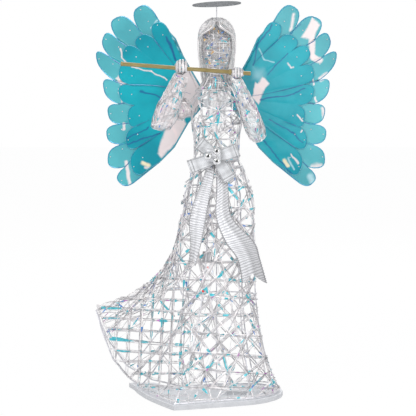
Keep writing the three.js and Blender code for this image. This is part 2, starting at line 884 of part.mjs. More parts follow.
addPiece('hair_hood', sheet({
  columns: hoodColumns,
  rows: hoodRows,
  site: (column, row) => {
    const v = (row / hoodRows) ** 1.6;
    const site = siteOn(hoodPoint, column / hoodColumns, v);
    return row === 0 ? { ...site, out: up } : site;
  },
  thickness: hoodThickness,
}), finishes.hair);

// Halo: a disc that leans a little, on a wire from the crown
const haloLean = 0.1;
const haloHeight = headTop + haloRise + haloThickness;
const haloWireTop = haloHeight - haloThickness / 2 - fitGap - haloWireRadius * haloLean;
const haloDisc = new THREE.CylinderGeometry(haloRadius, haloRadius, haloThickness, 24);
haloDisc.rotateX(Math.PI / 2 + haloLean);
haloDisc.rotateY(-haloLean / 2);
haloDisc.translate(0, 0, haloHeight);
addPiece('halo_disc', haloDisc, finishes.glitter);
addPiece('halo_wire', post(haloWireRadius, headTop + fitGap, haloWireTop, 0, 0, 8), finishes.wire);

// Flute and hands share a frame along the flute.
const fluteGroup = new THREE.Group();
fluteGroup.position.set(0, -fluteFront, torsoTop + fluteTopHeight);
fluteGroup.rotation.y = Math.atan(fluteSlope);
fluteGroup.updateMatrix();
group.add(fluteGroup);

function turnedRing(innerRadius, outerRadius, from, length, sides = 10) {
  const profile = [
    new THREE.Vector2(innerRadius, from),
    new THREE.Vector2(outerRadius, from),
    new THREE.Vector2(outerRadius, from + length),
    new THREE.Vector2(innerRadius, from + length),
  ];
  if (innerRadius > 0) profile.push(profile[0].clone());
  const ring = new THREE.LatheGeometry(profile, sides);
  ring.rotateZ(-Math.PI / 2);
  return ring;
}

const capRadius = fluteRadius + fitGap;
const capLength = 2 * fluteWall + fluteRadius;
const ringInner = fluteRadius + fitGap;
const fluteTube = turnedRing(fluteRadius - fluteWall, fluteRadius, -fluteRight, fluteLength);
const fluteCap = turnedRing(0, capRadius, -fluteRight - fitGap - capLength, capLength);
const lipRingStart = lipRingX - lipRingWidth / 2;
const lipRing = turnedRing(ringInner, ringInner + lipRingWall, lipRingStart, lipRingWidth, 12);
addPiece('flute_tube', fluteTube, finishes.gold, fluteGroup);
addPiece('flute_cap', fluteCap, finishes.gold, fluteGroup);
addPiece('flute_lip_ring', lipRing, finishes.gold, fluteGroup);

// A hand's finger: a hook from behind the flute over its top
const hookInner = fluteRadius + fitGap;
const hookOuter = hookInner + fingerThickness;
const hookFrom = -Math.PI / 4;
const hookTo = (7 * Math.PI) / 8;
const palmBack = hookOuter + fingerThickness / 4;

function finger(x, reach) {
  const shape = new THREE.Shape();
  shape.absarc(0, 0, hookOuter, hookFrom, hookTo * reach, false);
  shape.absarc(0, 0, hookInner, hookTo * reach, hookFrom, true);
  const settings = { depth: fingerWidth, curveSegments: 4, bevelEnabled: false };
  const hook = new THREE.ExtrudeGeometry(shape, settings);
  hook.rotateY(Math.PI / 2);
  hook.rotateX(Math.PI / 2);
  hook.translate(x, 0, 0);
  return hook;
}

function rectangleRing(x, y, halfWidth, halfDepth, level) {
  return [[-1, -1], [1, -1], [1, 1], [-1, 1]].map(([sideways, backwards]) =>
    new THREE.Vector3(x + sideways * halfWidth, y + backwards * halfDepth, level));
}

const handWidth = fingerCount * fingerWidth + (fingerCount - 1) * fingerGap;
const palmHalfDepth = (palmBack - hookInner) / 2;
const palmY = (palmBack + hookInner) / 2;
const fingerReachShares = [0.86, 1, 0.97, 0.84];

function handSolid(x) {
  const fingers = fingerReachShares.map((reach, index) =>
    finger(x - handWidth / 2 + index * (fingerWidth + fingerGap), reach));
  const palm = loft([
    rectangleRing(x, palmY, handWidth / 4, palmHalfDepth * 0.8, -palmLength),
    rectangleRing(x, palmY, handWidth * 0.42, palmHalfDepth, -palmLength / 2),
    rectangleRing(x, palmY, handWidth / 2, palmHalfDepth, 0),
  ]);
  return joined([palm, ...fingers]);
}

// A sleeve: netting gathered on the arm's wire at its start and wide at its end. It goes all the way round,
// or is open along the side where the arm enters it.
const gatherRadius = armWireRadius + fitGap + netDepth;
const sleeveOpening = Math.PI * 0.42;
const sleeveFullness = 0.3;
const sleeveRowPower = 1.6;

function sleevePiece(name, start, end, endRadius, rows, entry) {
  const axis = new THREE.Vector3().subVectors(end, start).normalize();
  const aim = entry ? new THREE.Vector3().subVectors(entry, end) : new THREE.Vector3(0, 1, 0);
  const forward = new THREE.Vector3().crossVectors(axis, aim).normalize();
  const sideways = new THREE.Vector3().crossVectors(forward, axis);
  const opening = entry ? sleeveOpening : 0;
  const surface = (u, v) => {
    const radius = THREE.MathUtils.lerp(gatherRadius, endRadius, v ** sleeveFullness);
    const angle = THREE.MathUtils.lerp(opening / 2, 2 * Math.PI - opening / 2, u);
    return new THREE.Vector3().lerpVectors(start, end, v)
      .addScaledVector(sideways, radius * Math.cos(angle))
      .addScaledVector(forward, -radius * Math.sin(angle));
  };
  addPiece(name, strandNet({
    columns: sleeveColumns,
    rows,
    wrap: !entry,
    site: (column, row) => siteOn(surface, column / sleeveColumns, (row / rows) ** sleeveRowPower),
    width: netStrand,
    depth: netDepth,
  }), finishes.netting);
}

const arms = [
  {
    name: 'right',
    side: -1,
    handShare: -0.2785,
    cuffReach: 124,
    cuffDepth: 84,
    cuffRadius: 28,
    puffLength: 27,
    puffRadius: 24,
  },
  {
    name: 'left',
    side: 1,
    handShare: 0.1615,
    cuffReach: 93,
    cuffDepth: 107,
    cuffRadius: 23,
    puffLength: 18,
    puffRadius: 18,
  },
];
const cuffFront = 34;
const shoulderLength = 6;
const puffSetback = 10;

for (const arm of arms) {
  const { name, side, handShare, cuffReach, cuffDepth, cuffRadius, puffLength, puffRadius } = arm;
  const handX = fluteLength * handShare;
  addPiece(`${name}_hand`, handSolid(handX), finishes.netting, fluteGroup);
  const palmFoot = new THREE.Vector3(handX, palmY, -palmLength - fitGap);
  palmFoot.applyMatrix4(fluteGroup.matrix);
  const wrist = palmFoot.clone().addScaledVector(up, -2 * netStrand);
  const cuff = new THREE.Vector3(side * cuffReach, -cuffFront, torsoTop - cuffDepth);
  const bend = new THREE.Vector3().lerpVectors(wrist, cuff, 0.8);
  const shoulderSite = torsoSite(side > 0 ? 0 : halfTorso, 1);
  const seat = moved(shoulderSite, 0, netDepth / 2 + fitGap).point;
  const shoulder = seat.clone().addScaledVector(shoulderSite.out, shoulderLength);
  const armWay = new THREE.Vector3().subVectors(bend, shoulder).normalize();
  const puffStart = shoulder.clone().addScaledVector(armWay, puffSetback);
  const puffEnd = puffStart.clone().addScaledVector(armWay, puffLength);
  const armPoints = [
    seat,
    seat.clone().addScaledVector(shoulderSite.out, shoulderLength / 2),
    shoulder,
    puffStart,
    puffEnd,
    bend,
    new THREE.Vector3().lerpVectors(wrist, cuff, 0.3),
    wrist,
    palmFoot,
  ];
  addPiece(`${name}_arm_wire`, wireAlong(armPoints, armWireRadius, 18, 5), finishes.wire);
  sleevePiece(`${name}_upper_sleeve`, puffStart, puffEnd, puffRadius, 3);
  sleevePiece(`${name}_forearm_sleeve`, wrist, cuff, cuffRadius, 4, puffEnd);
}

// Wings: outlines as shares of the wing's reach outwards and of its drop from the top.
const wingRootShare = 0.06;
const outerTipShares = [
  [0.612, 0],
  [0.81, 0.06],
  [0.93, 0.172],
  [0.993, 0.287],
  [0.93, 0.456],
  [0.89, 0.607],
  [0.904, 0.728],
  [0.895, 0.862],
  [0.788, 1],
];
const outerValleyShares = [
  [0.434, 0.077],
  [0.6, 0.14],
  [0.788, 0.192],
  [0.85, 0.293],
  [0.823, 0.421],
  [0.792, 0.549],
  [0.757, 0.662],
  [0.73, 0.775],
  [0.741, 0.908],
  [0.627, 0.977],
];
const innerTipShares = [
  [0.453, 0.089],
  [0.61, 0.169],
  [0.739, 0.238],
  [0.785, 0.365],
  [0.785, 0.49],
  [0.705, 0.633],
  [0.725, 0.759],
  [0.672, 0.915],
];
const upperEdgeShares = [
  [wingRootShare, 0.45],
  [0.173, 0.33],
  [0.224, 0.272],
  [0.289, 0.177],
];
const lowerEdgeShares = [
  [0.431, 0.874],
  [0.302, 0.788],
  [0.18, 0.65],
  [wingRootShare, 0.56],
];
const lobeSteps = 4;
const lobeRoundness = 0.72;
const valleyPullShare = 0.86;

function roundedPower(value) {
  return Math.sign(value) * Math.abs(value) ** lobeRoundness;
}

// A lobe: rounded points from one valley round its tip to the next valley
function lobePoints(from, tip, to) {
  const middle = new THREE.Vector2().addVectors(from, to).multiplyScalar(0.5);
  const half = new THREE.Vector2().subVectors(from, middle);
  const reach = new THREE.Vector2().subVectors(tip, middle);
  return Array.from({ length: lobeSteps }, (_, index) => {
    const angle = (Math.PI * (index + 1)) / (lobeSteps + 1);
    return middle.clone()
      .addScaledVector(half, roundedPower(Math.cos(angle)))
      .addScaledVector(reach, roundedPower(Math.sin(angle)));
  });
}

function wingPoint([out, down]) {
  return new THREE.Vector2(out * wingReach, torsoTop + wingTopHeight - down * wingHeight);
}

function lobedOutline(tips, valleys) {
  const lobes = tips.flatMap((tip, index) => [
    valleys[index],
    ...lobePoints(valleys[index], tip, valleys[index + 1]),
  ]);
  const upperEdge = upperEdgeShares.map(wingPoint);
  const lowerEdge = lowerEdgeShares.map(wingPoint);
  return [...upperEdge, ...lobes, valleys[valleys.length - 1], ...lowerEdge];
}

const wingRoot = wingPoint([wingRootShare, 0.505]);
const outerTips = outerTipShares.map(wingPoint);
const outerValleys = outerValleyShares.map(wingPoint);
const innerTips = innerTipShares.map(wingPoint);
const innerValleys = [0, ...innerTips.keys()].map((_, index) => {
  const before = innerTips[Math.max(index - 1, 0)];
  const after = innerTips[Math.min(index, innerTips.length - 1)];
  const between = new THREE.Vector2().addVectors(before, after).multiplyScalar(0.5);
  return between.lerpVectors(wingRoot, between, valleyPullShare);
});
innerValleys[0].copy(wingPoint([0.33, 0.15]));
innerValleys[innerTips.length].copy(wingPoint([0.53, 0.915]));

const outerOutline = lobedOutline(outerTips, outerValleys);
const innerOutline = lobedOutline(innerTips, innerValleys);

// The layers lie one behind the other: outer wire, outer film, inner wire, inner film, from the back.
const outerFilmFace = -(wingWireRadius + fitGap);
const innerWireY = outerFilmFace - filmThickness - fitGap - wingWireRadius;
const innerFilmFace = innerWireY - wingWireRadius - fitGap;
const spokeValleys = [1, 4, 7];
const knuckleRadius = pinRadius + fitGap + knuckleWall;
const wingKnuckleLength = (hingeLength - 2 * fitGap) * 0.45;
const hingeMiddle = wingPoint([wingRootShare, 0.535]).y;

function filmSolid(outline, side, face) {
  const shape = new THREE.Shape(outline.map((point) => new THREE.Vector2(side * point.x, point.y)));
  const film = new THREE.ExtrudeGeometry(shape, { depth: filmThickness, bevelEnabled: false });
  film.rotateX(Math.PI / 2);
  film.translate(0, face, 0);
  return film;
}

function outlineWire(outline, side, y) {
  const points = outline.map((point) => new THREE.Vector3(side * point.x, y, point.y));
  return wireLoop(points, new THREE.Vector3(0, 1, 0), wingWireRadius);
}

// A straight wire in the plane of a wing
function wingSpoke(from, to, side) {
  const span = new THREE.Vector2().subVectors(to, from);
  const spoke = new THREE.CylinderGeometry(wingWireRadius, wingWireRadius, span.length(), 4);
  spoke.rotateX(Math.PI / 2);
  spoke.rotateY(side * Math.atan2(span.x, span.y));
  spoke.translate((side * (from.x + to.x)) / 2, 0, (from.y + to.y) / 2);
  return spoke;
}

for (const { name, side } of arms) {
  const wing = new THREE.Group();
  wing.position.set(side * hingeX, hingeY, 0);
  wing.rotation.z = side * wingSweep;
  group.add(wing);
  const half = wingKnuckleLength / 2;
  const frame = joined([
    outlineWire(outerOutline, side, 0),
    ...spokeValleys.map((index) => wingSpoke(wingRoot, outerValleys[index], side)),
    post(knuckleRadius, hingeMiddle - half, hingeMiddle + half, 0, 0),
    block(
      wingRoot.x + wingWireRadius,
      2 * wingWireRadius,
      hingeMiddle - half * 0.7,
      hingeMiddle + half * 0.7,
      (side * (wingRoot.x + wingWireRadius)) / 2,
      0,
    ),
  ]);
  const boreTop = hingeMiddle + half + cutOver;
  const bore = post(pinRadius + fitGap, hingeMiddle - half - cutOver, boreTop, 0, 0);
  addPiece(`${name}_wing_outer_frame`, cutFrom(frame, [bore]), finishes.wire, wing);
  addPiece(`${name}_wing_outer_film`, filmSolid(outerOutline, side, outerFilmFace), finishes.film, wing);
  addPiece(`${name}_wing_inner_frame`, outlineWire(innerOutline, side, innerWireY), finishes.wire, wing);
  addPiece(`${name}_wing_inner_film`, filmSolid(innerOutline, side, innerFilmFace), finishes.film, wing);
}

// Wing bracket: a plate on the torso's back with two ears for each pin
const backColumn = torsoColumns / 4;
const backPlaces = Array.from({ length: torsoRows }, (_, row) => torsoSite(backColumn, row).point.y);
const backReach = Math.max(...backPlaces);
const bracketY = backReach + netDepth / 2 + fitGap + bracketThickness / 2;
const earLength = (hingeLength - wingKnuckleLength) / 2 - fitGap;
const earOffset = wingKnuckleLength / 2 + fitGap + earLength / 2;
const bracketParts = [block(
  2 * hingeX,
  bracketThickness,
  hingeMiddle - bracketHeight / 2,
  hingeMiddle + bracketHeight / 2,
  0,
  bracketY,
)];
const bracketBores = [];
for (const side of [-1, 1]) {
  for (const place of [-1, 1]) {
    const low = hingeMiddle + place * earOffset - earLength / 2;
    bracketParts.push(post(knuckleRadius, low, low + earLength, side * hingeX, hingeY));
    bracketParts.push(block(
      2 * pinRadius,
      hingeY - bracketY,
      low,
      low + earLength,
      side * (hingeX - pinRadius),
      (hingeY + bracketY) / 2,
    ));
    const boreTop = low + earLength + cutOver;
    bracketBores.push(post(pinRadius + fitGap, low - cutOver, boreTop, side * hingeX, hingeY));
  }
}
addPiece('wing_bracket', cutFrom(joined(bracketParts), bracketBores), finishes.steel);

for (const { name, side } of arms) {
  const low = hingeMiddle - hingeLength / 2;
  const high = hingeMiddle + hingeLength / 2 + fitGap;
  addPiece(`${name}_hinge_pin`, joined([
    post(pinRadius, low, high + pinRadius / 2, side * hingeX, hingeY),
    post(knuckleRadius - fitGap, high, high + pinRadius, side * hingeX, hingeY),
  ]), finishes.steel);
}

// Bow: two layers of ribbon loops over the tails, a tie in front of them and three balls on the tie
const bowX = 0;
const bowZ = waistHeight + bowHeight;
const tailStart = waistHalfDepth + netDepth + ribbonThickness + fitGap;
const backLayer = tailStart + loopStandoff;
const bowLayers = [backLayer, backLayer + 2 * loopHalfDepth + ribbonThickness + 2.4 * fitGap];
const tieBack = bowLayers[1] + loopHalfDepth + ribbonThickness / 2 + fitGap;
const loopColumns = 10;
const loops = [
  { name: 'upper_right', angle: 145, length: 48, layer: 0, lean: 0 },
  { name: 'lower_left', angle: -60, length: 60, layer: 0, lean: 0.08 },
  { name: 'lower_right', angle: 200, length: 66, layer: 1, lean: 0 },
  { name: 'upper_left', angle: 18, length: 50, layer: 1, lean: 0 },
];

for (const { name, angle, length, layer, lean } of loops) {
  const turn = THREE.MathUtils.degToRad(angle);
  const away = new THREE.Vector3(Math.cos(turn), -lean, Math.sin(turn));
  const widthways = new THREE.Vector3(-Math.sin(turn), 0, Math.cos(turn));
  const surface = (u, v) => {
    const round = THREE.MathUtils.lerp(0.09, 0.91, u) * 2 * Math.PI;
    const reach = (length * (1 - Math.cos(round))) / 2;
    const depth = bowLayers[layer] + loopHalfDepth * Math.sin(round);
    return new THREE.Vector3(bowX, -depth, bowZ)
      .addScaledVector(away, reach)
      .addScaledVector(widthways, (0.5 - v) * ribbonWidth);
  };
  addPiece(`bow_loop_${name}`, sheet({
    columns: loopColumns,
    rows: 1,
    site: (column, row) => siteOn(surface, column / loopColumns, row),
    thickness: ribbonThickness,
  }), finishes.satin);
}

const tieX = bowX - ballSpread / 2;
const tieZ = bowZ + ballSpread / 3;
const tieFaceShare = 0.4;
const tie = loft([
  rectangleRing(tieX, 0, tieWidth * tieFaceShare, tieHeight * tieFaceShare, 0),
  rectangleRing(tieX, 0, tieWidth / 2, tieHeight / 2, tieThickness / 2),
  rectangleRing(tieX, 0, tieWidth * tieFaceShare, tieHeight * tieFaceShare, tieThickness),
]);
tie.rotateX(Math.PI / 2);
tie.translate(0, -tieBack, tieZ);
addPiece('bow_tie', tie, finishes.satin);

for (let index = 0; index < ballCount; index += 1) {
  const angle = (Math.PI * (1 + 2 * index)) / ballCount;
  const ball = new THREE.SphereGeometry(ballRadius, 12, 8);
  ball.translate(
    tieX + ballSpread * Math.cos(angle),
    -(tieBack + tieThickness + fitGap + ballRadius),
    tieZ + ballSpread * Math.sin(angle),
  );
  addPiece(`bow_ball_${index + 1}`, ball, finishes.chrome);
}

// Tails hang in front of the skirt; each station has its place and its width as shares of a tail's sizes.
const tailSeat = waistHalfDepth + netDepth / 2 + fitGap + tailThickness / 2;
const tailShares = {
  right: [
    { left: -0.141, front: 0, down: 0, width: 0.267 },
    { left: -0.247, front: 0.25, down: 0.177, width: 0.433 },
    { left: -0.4, front: 0.75, down: 0.331, width: 0.567 },
    { left: -0.518, front: 0.929, down: 0.523, width: 0.6 },
    { left: -0.553, front: 0.964, down: 0.696, width: 0.42 },
    { left: -0.66, front: 0.964, down: 0.9, width: 0.26 },
  ],
  left: [
    { left: 0.106, front: 0, down: 0, width: 0.267 },
    { left: 0.153, front: 0.214, down: 0.235, width: 0.433 },
    { left: 0.19, front: 0.643, down: 0.477, width: 0.6 },
    { left: 0.6, front: 1, down: 0.685, width: 1.1 },
    { left: 0.847, front: 1, down: 0.838, width: 0.867 },
    { left: 1, front: 0.964, down: 1.05, width: 0.95 },
  ],
};
for (const [name, stations] of Object.entries(tailShares)) {
  const places = stations.map(({ left, front, down }) => {
    const forward = THREE.MathUtils.lerp(tailSeat, tailFront, front);
    return new THREE.Vector3(left * tailReach, -forward, waistHeight - down * tailLength);
  });
  const middle = new THREE.CatmullRomCurve3(places, false, 'centripetal');
  const halves = stations.map(({ width }, index) => new THREE.Vector2(index, width * tailHalfWidth));
  const widths = new THREE.SplineCurve(halves);
  const surface = (u, v) => {
    const clamped = THREE.MathUtils.clamp(v, 0, 1);
    const point = middle.getPoint(clamped);
    point.x += (2 * u - 1) * widths.getPoint(clamped).y;
    return point;
  };
  addPiece(`bow_tail_${name}`, sheet({
    columns: 2,
    rows: 2 * stations.length,
    site: (column, row) => siteOn(surface, column / 2, row / (2 * stations.length)),
    thickness: tailThickness,
  }), finishes.organza);
}

// Lights: a junction block behind the front seam, with one string below it and one above
const seam = skirtColumns.findIndex(({ panel, column }) => panel === panels[0] && column === 0);
const junctionWidth = 20;
const junctionDepth = 9;
const junctionHeight = 26;
const junctionRow = 2;
const junctionInset = frameInset + frameWire * Math.SQRT1_2 + fitGap + junctionDepth / 2;

function lightPoint(row, step = 0) {
  const index = (seam + step + skirtColumns.length) % skirtColumns.length;
  return insideSite(skirtColumns[index], row, bulbInset).point;
}

const junctionAbove = insideSite(skirtColumns[seam], junctionRow, junctionInset);
const junctionBelow = insideSite(skirtColumns[seam], junctionRow + 1, junctionInset);
const junctionPlace = new THREE.Vector3().lerpVectors(junctionAbove.point, junctionBelow.point, 0.7);
const junctionUp = new THREE.Vector3().subVectors(junctionAbove.point, junctionBelow.point).normalize();
const junctionOut = junctionAbove.out.clone();
junctionOut.addScaledVector(junctionUp, -junctionOut.dot(junctionUp)).normalize();
const junctionAcross = new THREE.Vector3().crossVectors(junctionOut, junctionUp);
const junction = new THREE.BoxGeometry(junctionWidth, junctionDepth, junctionHeight);
junction.applyMatrix4(new THREE.Matrix4().makeBasis(junctionAcross, junctionOut, junctionUp));
junction.translate(junctionPlace.x, junctionPlace.y, junctionPlace.z);
addPiece('light_junction', junction, finishes.moulding);

// A light string: its wire with a bulb at each chosen point
function lightString(points, bulbs, steps) {
  const wire = wireAlong(points, lightWireRadius, steps, 4);
  const stops = new THREE.CatmullRomCurve3(points, false, 'centripetal').getSpacedPoints(steps);
  const lamps = bulbs.map((wanted) => {
    const nearer = (one, other) => (one.distanceTo(wanted) < other.distanceTo(wanted) ? one : other);
    const place = stops.reduce(nearer);
    const bulb = new THREE.SphereGeometry(bulbRadius, 6, 4);
    bulb.rotateX(Math.PI / 2);
    bulb.scale(1, 1, bulbLength / (2 * bulbRadius));
    bulb.translate(place.x, place.y, place.z);
    return bulb;
  });
  return joined([wire, ...lamps]);
}

const lowerPoints = [];
for (let row = skirtRows - 1; row > junctionRow; row -= 1) {
  lowerPoints.push(lightPoint(row, row % 2 ? -1 : 0));
}
const lidOutlet = new THREE.Vector3(holderX - lidWidth / 3, lidY, lidTop + fitGap);
const junctionLow = junctionPlace.clone().addScaledVector(junctionUp, -(junctionHeight / 2 + fitGap));
const junctionHigh = junctionPlace.clone().addScaledVector(junctionUp, junctionHeight / 2 + fitGap);
addPiece('lower_light_string', lightString([
  lidOutlet,
  lidOutlet.clone().addScaledVector(up, bulbLength),
  new THREE.Vector3().lerpVectors(lidOutlet, lowerPoints[0], 0.5),
  ...lowerPoints,
  junctionLow.clone().addScaledVector(junctionUp, -bulbLength),
  junctionLow,
], lowerPoints, 20), finishes.bulb);

const upperPoints = [];
for (let row = junctionRow; row > 0; row -= 1) {
  upperPoints.push(lightPoint(row, row % 2 ? 0 : -1));
}
const torsoLights = [];
for (let row = torsoRows; row > 0; row -= 2) {
  torsoLights.push(moved(torsoSite(halfTorso + (row > 2 ? 2 : 3), row), 0, -bulbInset).point);
}
addPiece('upper_light_string', lightString([
  junctionHigh,
  junctionHigh.clone().addScaledVector(junctionUp, bulbLength),
  ...upperPoints,
  ...torsoLights,
], [...upperPoints, ...torsoLights], 20), finishes.bulb);

export default group;
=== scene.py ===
import math
import random

import bpy
import numpy as np
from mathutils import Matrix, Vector


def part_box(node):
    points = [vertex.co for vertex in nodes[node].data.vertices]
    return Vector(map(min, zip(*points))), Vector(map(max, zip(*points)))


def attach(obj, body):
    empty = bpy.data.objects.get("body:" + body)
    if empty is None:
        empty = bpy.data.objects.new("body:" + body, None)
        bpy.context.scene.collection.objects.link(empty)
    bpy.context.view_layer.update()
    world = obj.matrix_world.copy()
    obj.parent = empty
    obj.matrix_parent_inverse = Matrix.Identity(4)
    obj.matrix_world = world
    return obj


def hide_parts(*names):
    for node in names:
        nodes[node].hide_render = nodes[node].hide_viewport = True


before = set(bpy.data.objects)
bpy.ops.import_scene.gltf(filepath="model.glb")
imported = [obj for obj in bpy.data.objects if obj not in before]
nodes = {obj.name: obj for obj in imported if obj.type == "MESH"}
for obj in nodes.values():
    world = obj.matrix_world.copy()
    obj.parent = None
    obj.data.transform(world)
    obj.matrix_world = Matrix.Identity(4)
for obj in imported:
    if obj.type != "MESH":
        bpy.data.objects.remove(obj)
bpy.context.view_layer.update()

MM = 0.001
rng = random.Random(7)

# Camera at the photograph's viewing angle; its numbers are in millimetres
CAMERA_X, CAMERA_DISTANCE, CAMERA_HEIGHT, AIM_HEIGHT = -19.6, 3989, 878, 446.6
CAMERA_PLACE = Vector([value * MM for value in (CAMERA_X, -CAMERA_DISTANCE, CAMERA_HEIGHT)])
CAMERA_AIM = Vector([value * MM for value in (CAMERA_X, 0, AIM_HEIGHT)])
camera_data = bpy.data.cameras.new("camera")
camera = bpy.data.objects.new("camera", camera_data)
bpy.context.scene.collection.objects.link(camera)
camera.location = CAMERA_PLACE
camera.rotation_euler = (CAMERA_AIM - CAMERA_PLACE).to_track_quat("-Z", "Y").to_euler()
camera_data.angle = math.radians(13.494)
camera_data.clip_end = 50
bpy.context.scene.camera = camera
bpy.context.scene.view_settings.view_transform = "Standard"


# Materials
def set_inputs(tree, node, values):
    """Gives a node's inputs their values, or links those that are sockets."""
    for key, value in values.items():
        if isinstance(value, bpy.types.NodeSocket):
            tree.links.new(value, node.inputs[key])
        else:
            node.inputs[key].default_value = value
    return node


def add_node(tree, kind, values, **settings):
    node = tree.nodes.new("ShaderNode" + kind)
    for key, value in settings.items():
        setattr(node, key, value)
    return set_inputs(tree, node, values)


def new_material(name):
    material = bpy.data.materials.new(name)
    material.use_nodes = True
    tree = material.node_tree
    return material, tree, tree.nodes["Principled BSDF"]


def coordinates(tree, scale=(1, 1, 1)):
    source = add_node(tree, "TexCoord", {})
    return add_node(tree, "Mapping", {"Scale": scale, "Vector": source.outputs["Object"]}).outputs["Vector"]


def noise(tree, vector, scale, detail=3.0, output="Fac"):
    return add_node(tree, "TexNoise", {"Scale": scale, "Detail": detail, "Vector": vector}).outputs[output]


def ramp(tree, value, stops):
    node = add_node(tree, "ValToRGB", {"Fac": value})
    elements = node.color_ramp.elements
    while len(elements) < len(stops):
        elements.new(0.5)
    for element, (place, color) in zip(elements, stops):
        element.position = place
        element.color = (*color, 1)
    return node.outputs["Color"]


def bump(tree, shader, height, strength, distance):
    node = add_node(tree, "Bump", {"Strength": strength, "Distance": distance, "Height": height})
    tree.links.new(node.outputs["Normal"], shader.inputs["Normal"])


ROUGH_GRAIN, BUMP_GRAIN = 2.3, 4


def mottled(name, dark, light, rough, scale, metallic, bumps, depth, stretch=(1, 1, 1), coat=0.0, alpha=1.0,
            specular=0.5, sheen=0.0):
    """A material whose colour, roughness and bump vary with three grains of noise."""
    material, tree, shader = new_material(name)
    vector = coordinates(tree, stretch)
    spread = add_node(tree, "MapRange", {"To Min": rough[0], "To Max": rough[1],
                                         "Value": noise(tree, vector, scale * ROUGH_GRAIN)})
    set_inputs(tree, shader, {
        "Base Color": ramp(tree, noise(tree, vector, scale), [(0.3, dark), (0.7, light)]),
        "Roughness": spread.outputs["Result"], "Metallic": metallic, "Coat Weight": coat, "Alpha": alpha,
        "Specular IOR Level": specular, "Sheen Weight": sheen})
    bump(tree, shader, noise(tree, vector, scale * BUMP_GRAIN), bumps, depth)
    return material


def greys(stops):
    return [(place, (value, value, value)) for place, value in stops]


def multiplied(tree, first, second):
    return add_node(tree, "Mix", {"Factor": 1, "A": first, "B": second}, data_type="RGBA",
                    blend_type="MULTIPLY").outputs["Result"]


def shade(material, by_place, stops):
    """Paints shade into a material: darkens it along the upright axis of its place or of its normal."""
    tree = material.node_tree
    source = coordinates(tree) if by_place else add_node(tree, "NewGeometry", {}).outputs["Normal"]
    height = add_node(tree, "SeparateXYZ", {"Vector": source}).outputs["Z"]
    color = tree.nodes["Principled BSDF"].inputs["Base Color"]
    tree.links.new(multiplied(tree, color.links[0].from_socket, ramp(tree, height, greys(stops))), color)


def dress(node, material):
    nodes[node].data.materials.clear()
    nodes[node].data.materials.append(material)


# Studio: pale floor, white surround and plain soft lamps
WHITE = (1, 1, 1, 1)
FLOOR_GLOW_SHARE = 0.96
FLOOR_REACH = 8


def seen_mask(tree):
    """1 where the camera sees a surface directly or through a clear one."""
    rays = add_node(tree, "LightPath", {}).outputs
    return add_node(tree, "Math", {0: rays["Is Camera Ray"], 1: rays["Is Transmission Ray"]},
                    operation="MAXIMUM").outputs[0]


def mix_shaders(tree, share, first, second, end):
    mix = add_node(tree, "MixShader", {"Fac": share, 1: first, 2: second})
    tree.links.new(mix.outputs["Shader"], tree.nodes[end].inputs["Surface"])


floor_paint, floor_tree, floor_shader = new_material("pale_floor")
set_inputs(floor_tree, floor_shader, {"Base Color": (0.86, 0.86, 0.87, 1), "Roughness": 0.9})
floor_glow = add_node(floor_tree, "Emission", {"Color": WHITE, "Strength": 1.0})
floor_share = add_node(floor_tree, "Math", {0: seen_mask(floor_tree), 1: FLOOR_GLOW_SHARE}, operation="MULTIPLY")
mix_shaders(floor_tree, floor_share.outputs[0], floor_shader.outputs["BSDF"], floor_glow.outputs["Emission"],
            "Material Output")
floor_mesh = bpy.data.meshes.new("floor")
floor_mesh.from_pydata([(x * FLOOR_REACH, y * FLOOR_REACH, 0) for x, y in ((-1, -1), (1, -1), (1, 1), (-1, 1))], [],
                       [(0, 1, 2, 3)])
floor_mesh.materials.append(floor_paint)
floor = bpy.data.objects.new("floor", floor_mesh)
bpy.context.scene.collection.objects.link(floor)

world = bpy.data.worlds.new("studio")
world.use_nodes = True
bpy.context.scene.world = world
world_tree = world.node_tree
back = set_inputs(world_tree, world_tree.nodes["Background"], {"Color": (0.93, 0.94, 0.96, 1), "Strength": 0.85})
white = add_node(world_tree, "Background", {"Color": WHITE, "Strength": 1.0})
mix_shaders(world_tree, seen_mask(world_tree), back.outputs["Background"], white.outputs["Background"], "World Output")

for name, place, aim_height, size, power in (("key", (-1.6, -2.6, 2.4), 0.45, 1.6, 52),
                                             ("fill", (2.2, -2.2, 1.2), 0.5, 1.8, 27),
                                             ("rim", (0.3, 2.4, 2.2), 0.5, 1.6, 22)):
    data = bpy.data.lights.new(name, "AREA")
    data.size = size
    data.energy = power
    obj = bpy.data.objects.new(name, data)
    obj.location = place
    obj.rotation_euler = (Vector((0, 0, aim_height)) - Vector(place)).to_track_quat("-Z", "Y").to_euler()
    bpy.context.scene.collection.objects.link(obj)


# Pieces
def add_object(name, vertices, faces, materials, body="figure", slots=None, smooth=True):
    """A mesh object in metres from places in millimetres, riding on a body."""
    mesh = bpy.data.meshes.new(name)
    mesh.from_pydata([tuple(float(c) * MM for c in v) for v in vertices], [], [tuple(f) for f in faces])
    for material in materials:
        mesh.materials.append(material)
    if slots is not None:
        mesh.polygons.foreach_set("material_index", list(slots))
    mesh.polygons.foreach_set("use_smooth", [smooth] * len(mesh.polygons))
    mesh.update()
    obj = bpy.data.objects.new(name, mesh)
    bpy.context.scene.collection.objects.link(obj)
    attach(obj, body)
    return obj


def unit(vectors):
    lengths = np.linalg.norm(vectors, axis=-1, keepdims=True)
    return vectors / np.maximum(lengths, 1e-9)


def ring_faces(rings, sides, closed):
    """Faces round rings of sides places each, with both ends capped unless the last ring joins the first."""
    faces = []
    for ring in range(rings if closed else rings - 1):
        low, high = ring * sides, ((ring + 1) % rings) * sides
        for side in range(sides):
            after = (side + 1) % sides
            faces.append((low + side, low + after, high + after, high + side))
    if not closed:
        faces.append(tuple(range(sides - 1, -1, -1)))
        faces.append(tuple((rings - 1) * sides + side for side in range(sides)))
    return faces


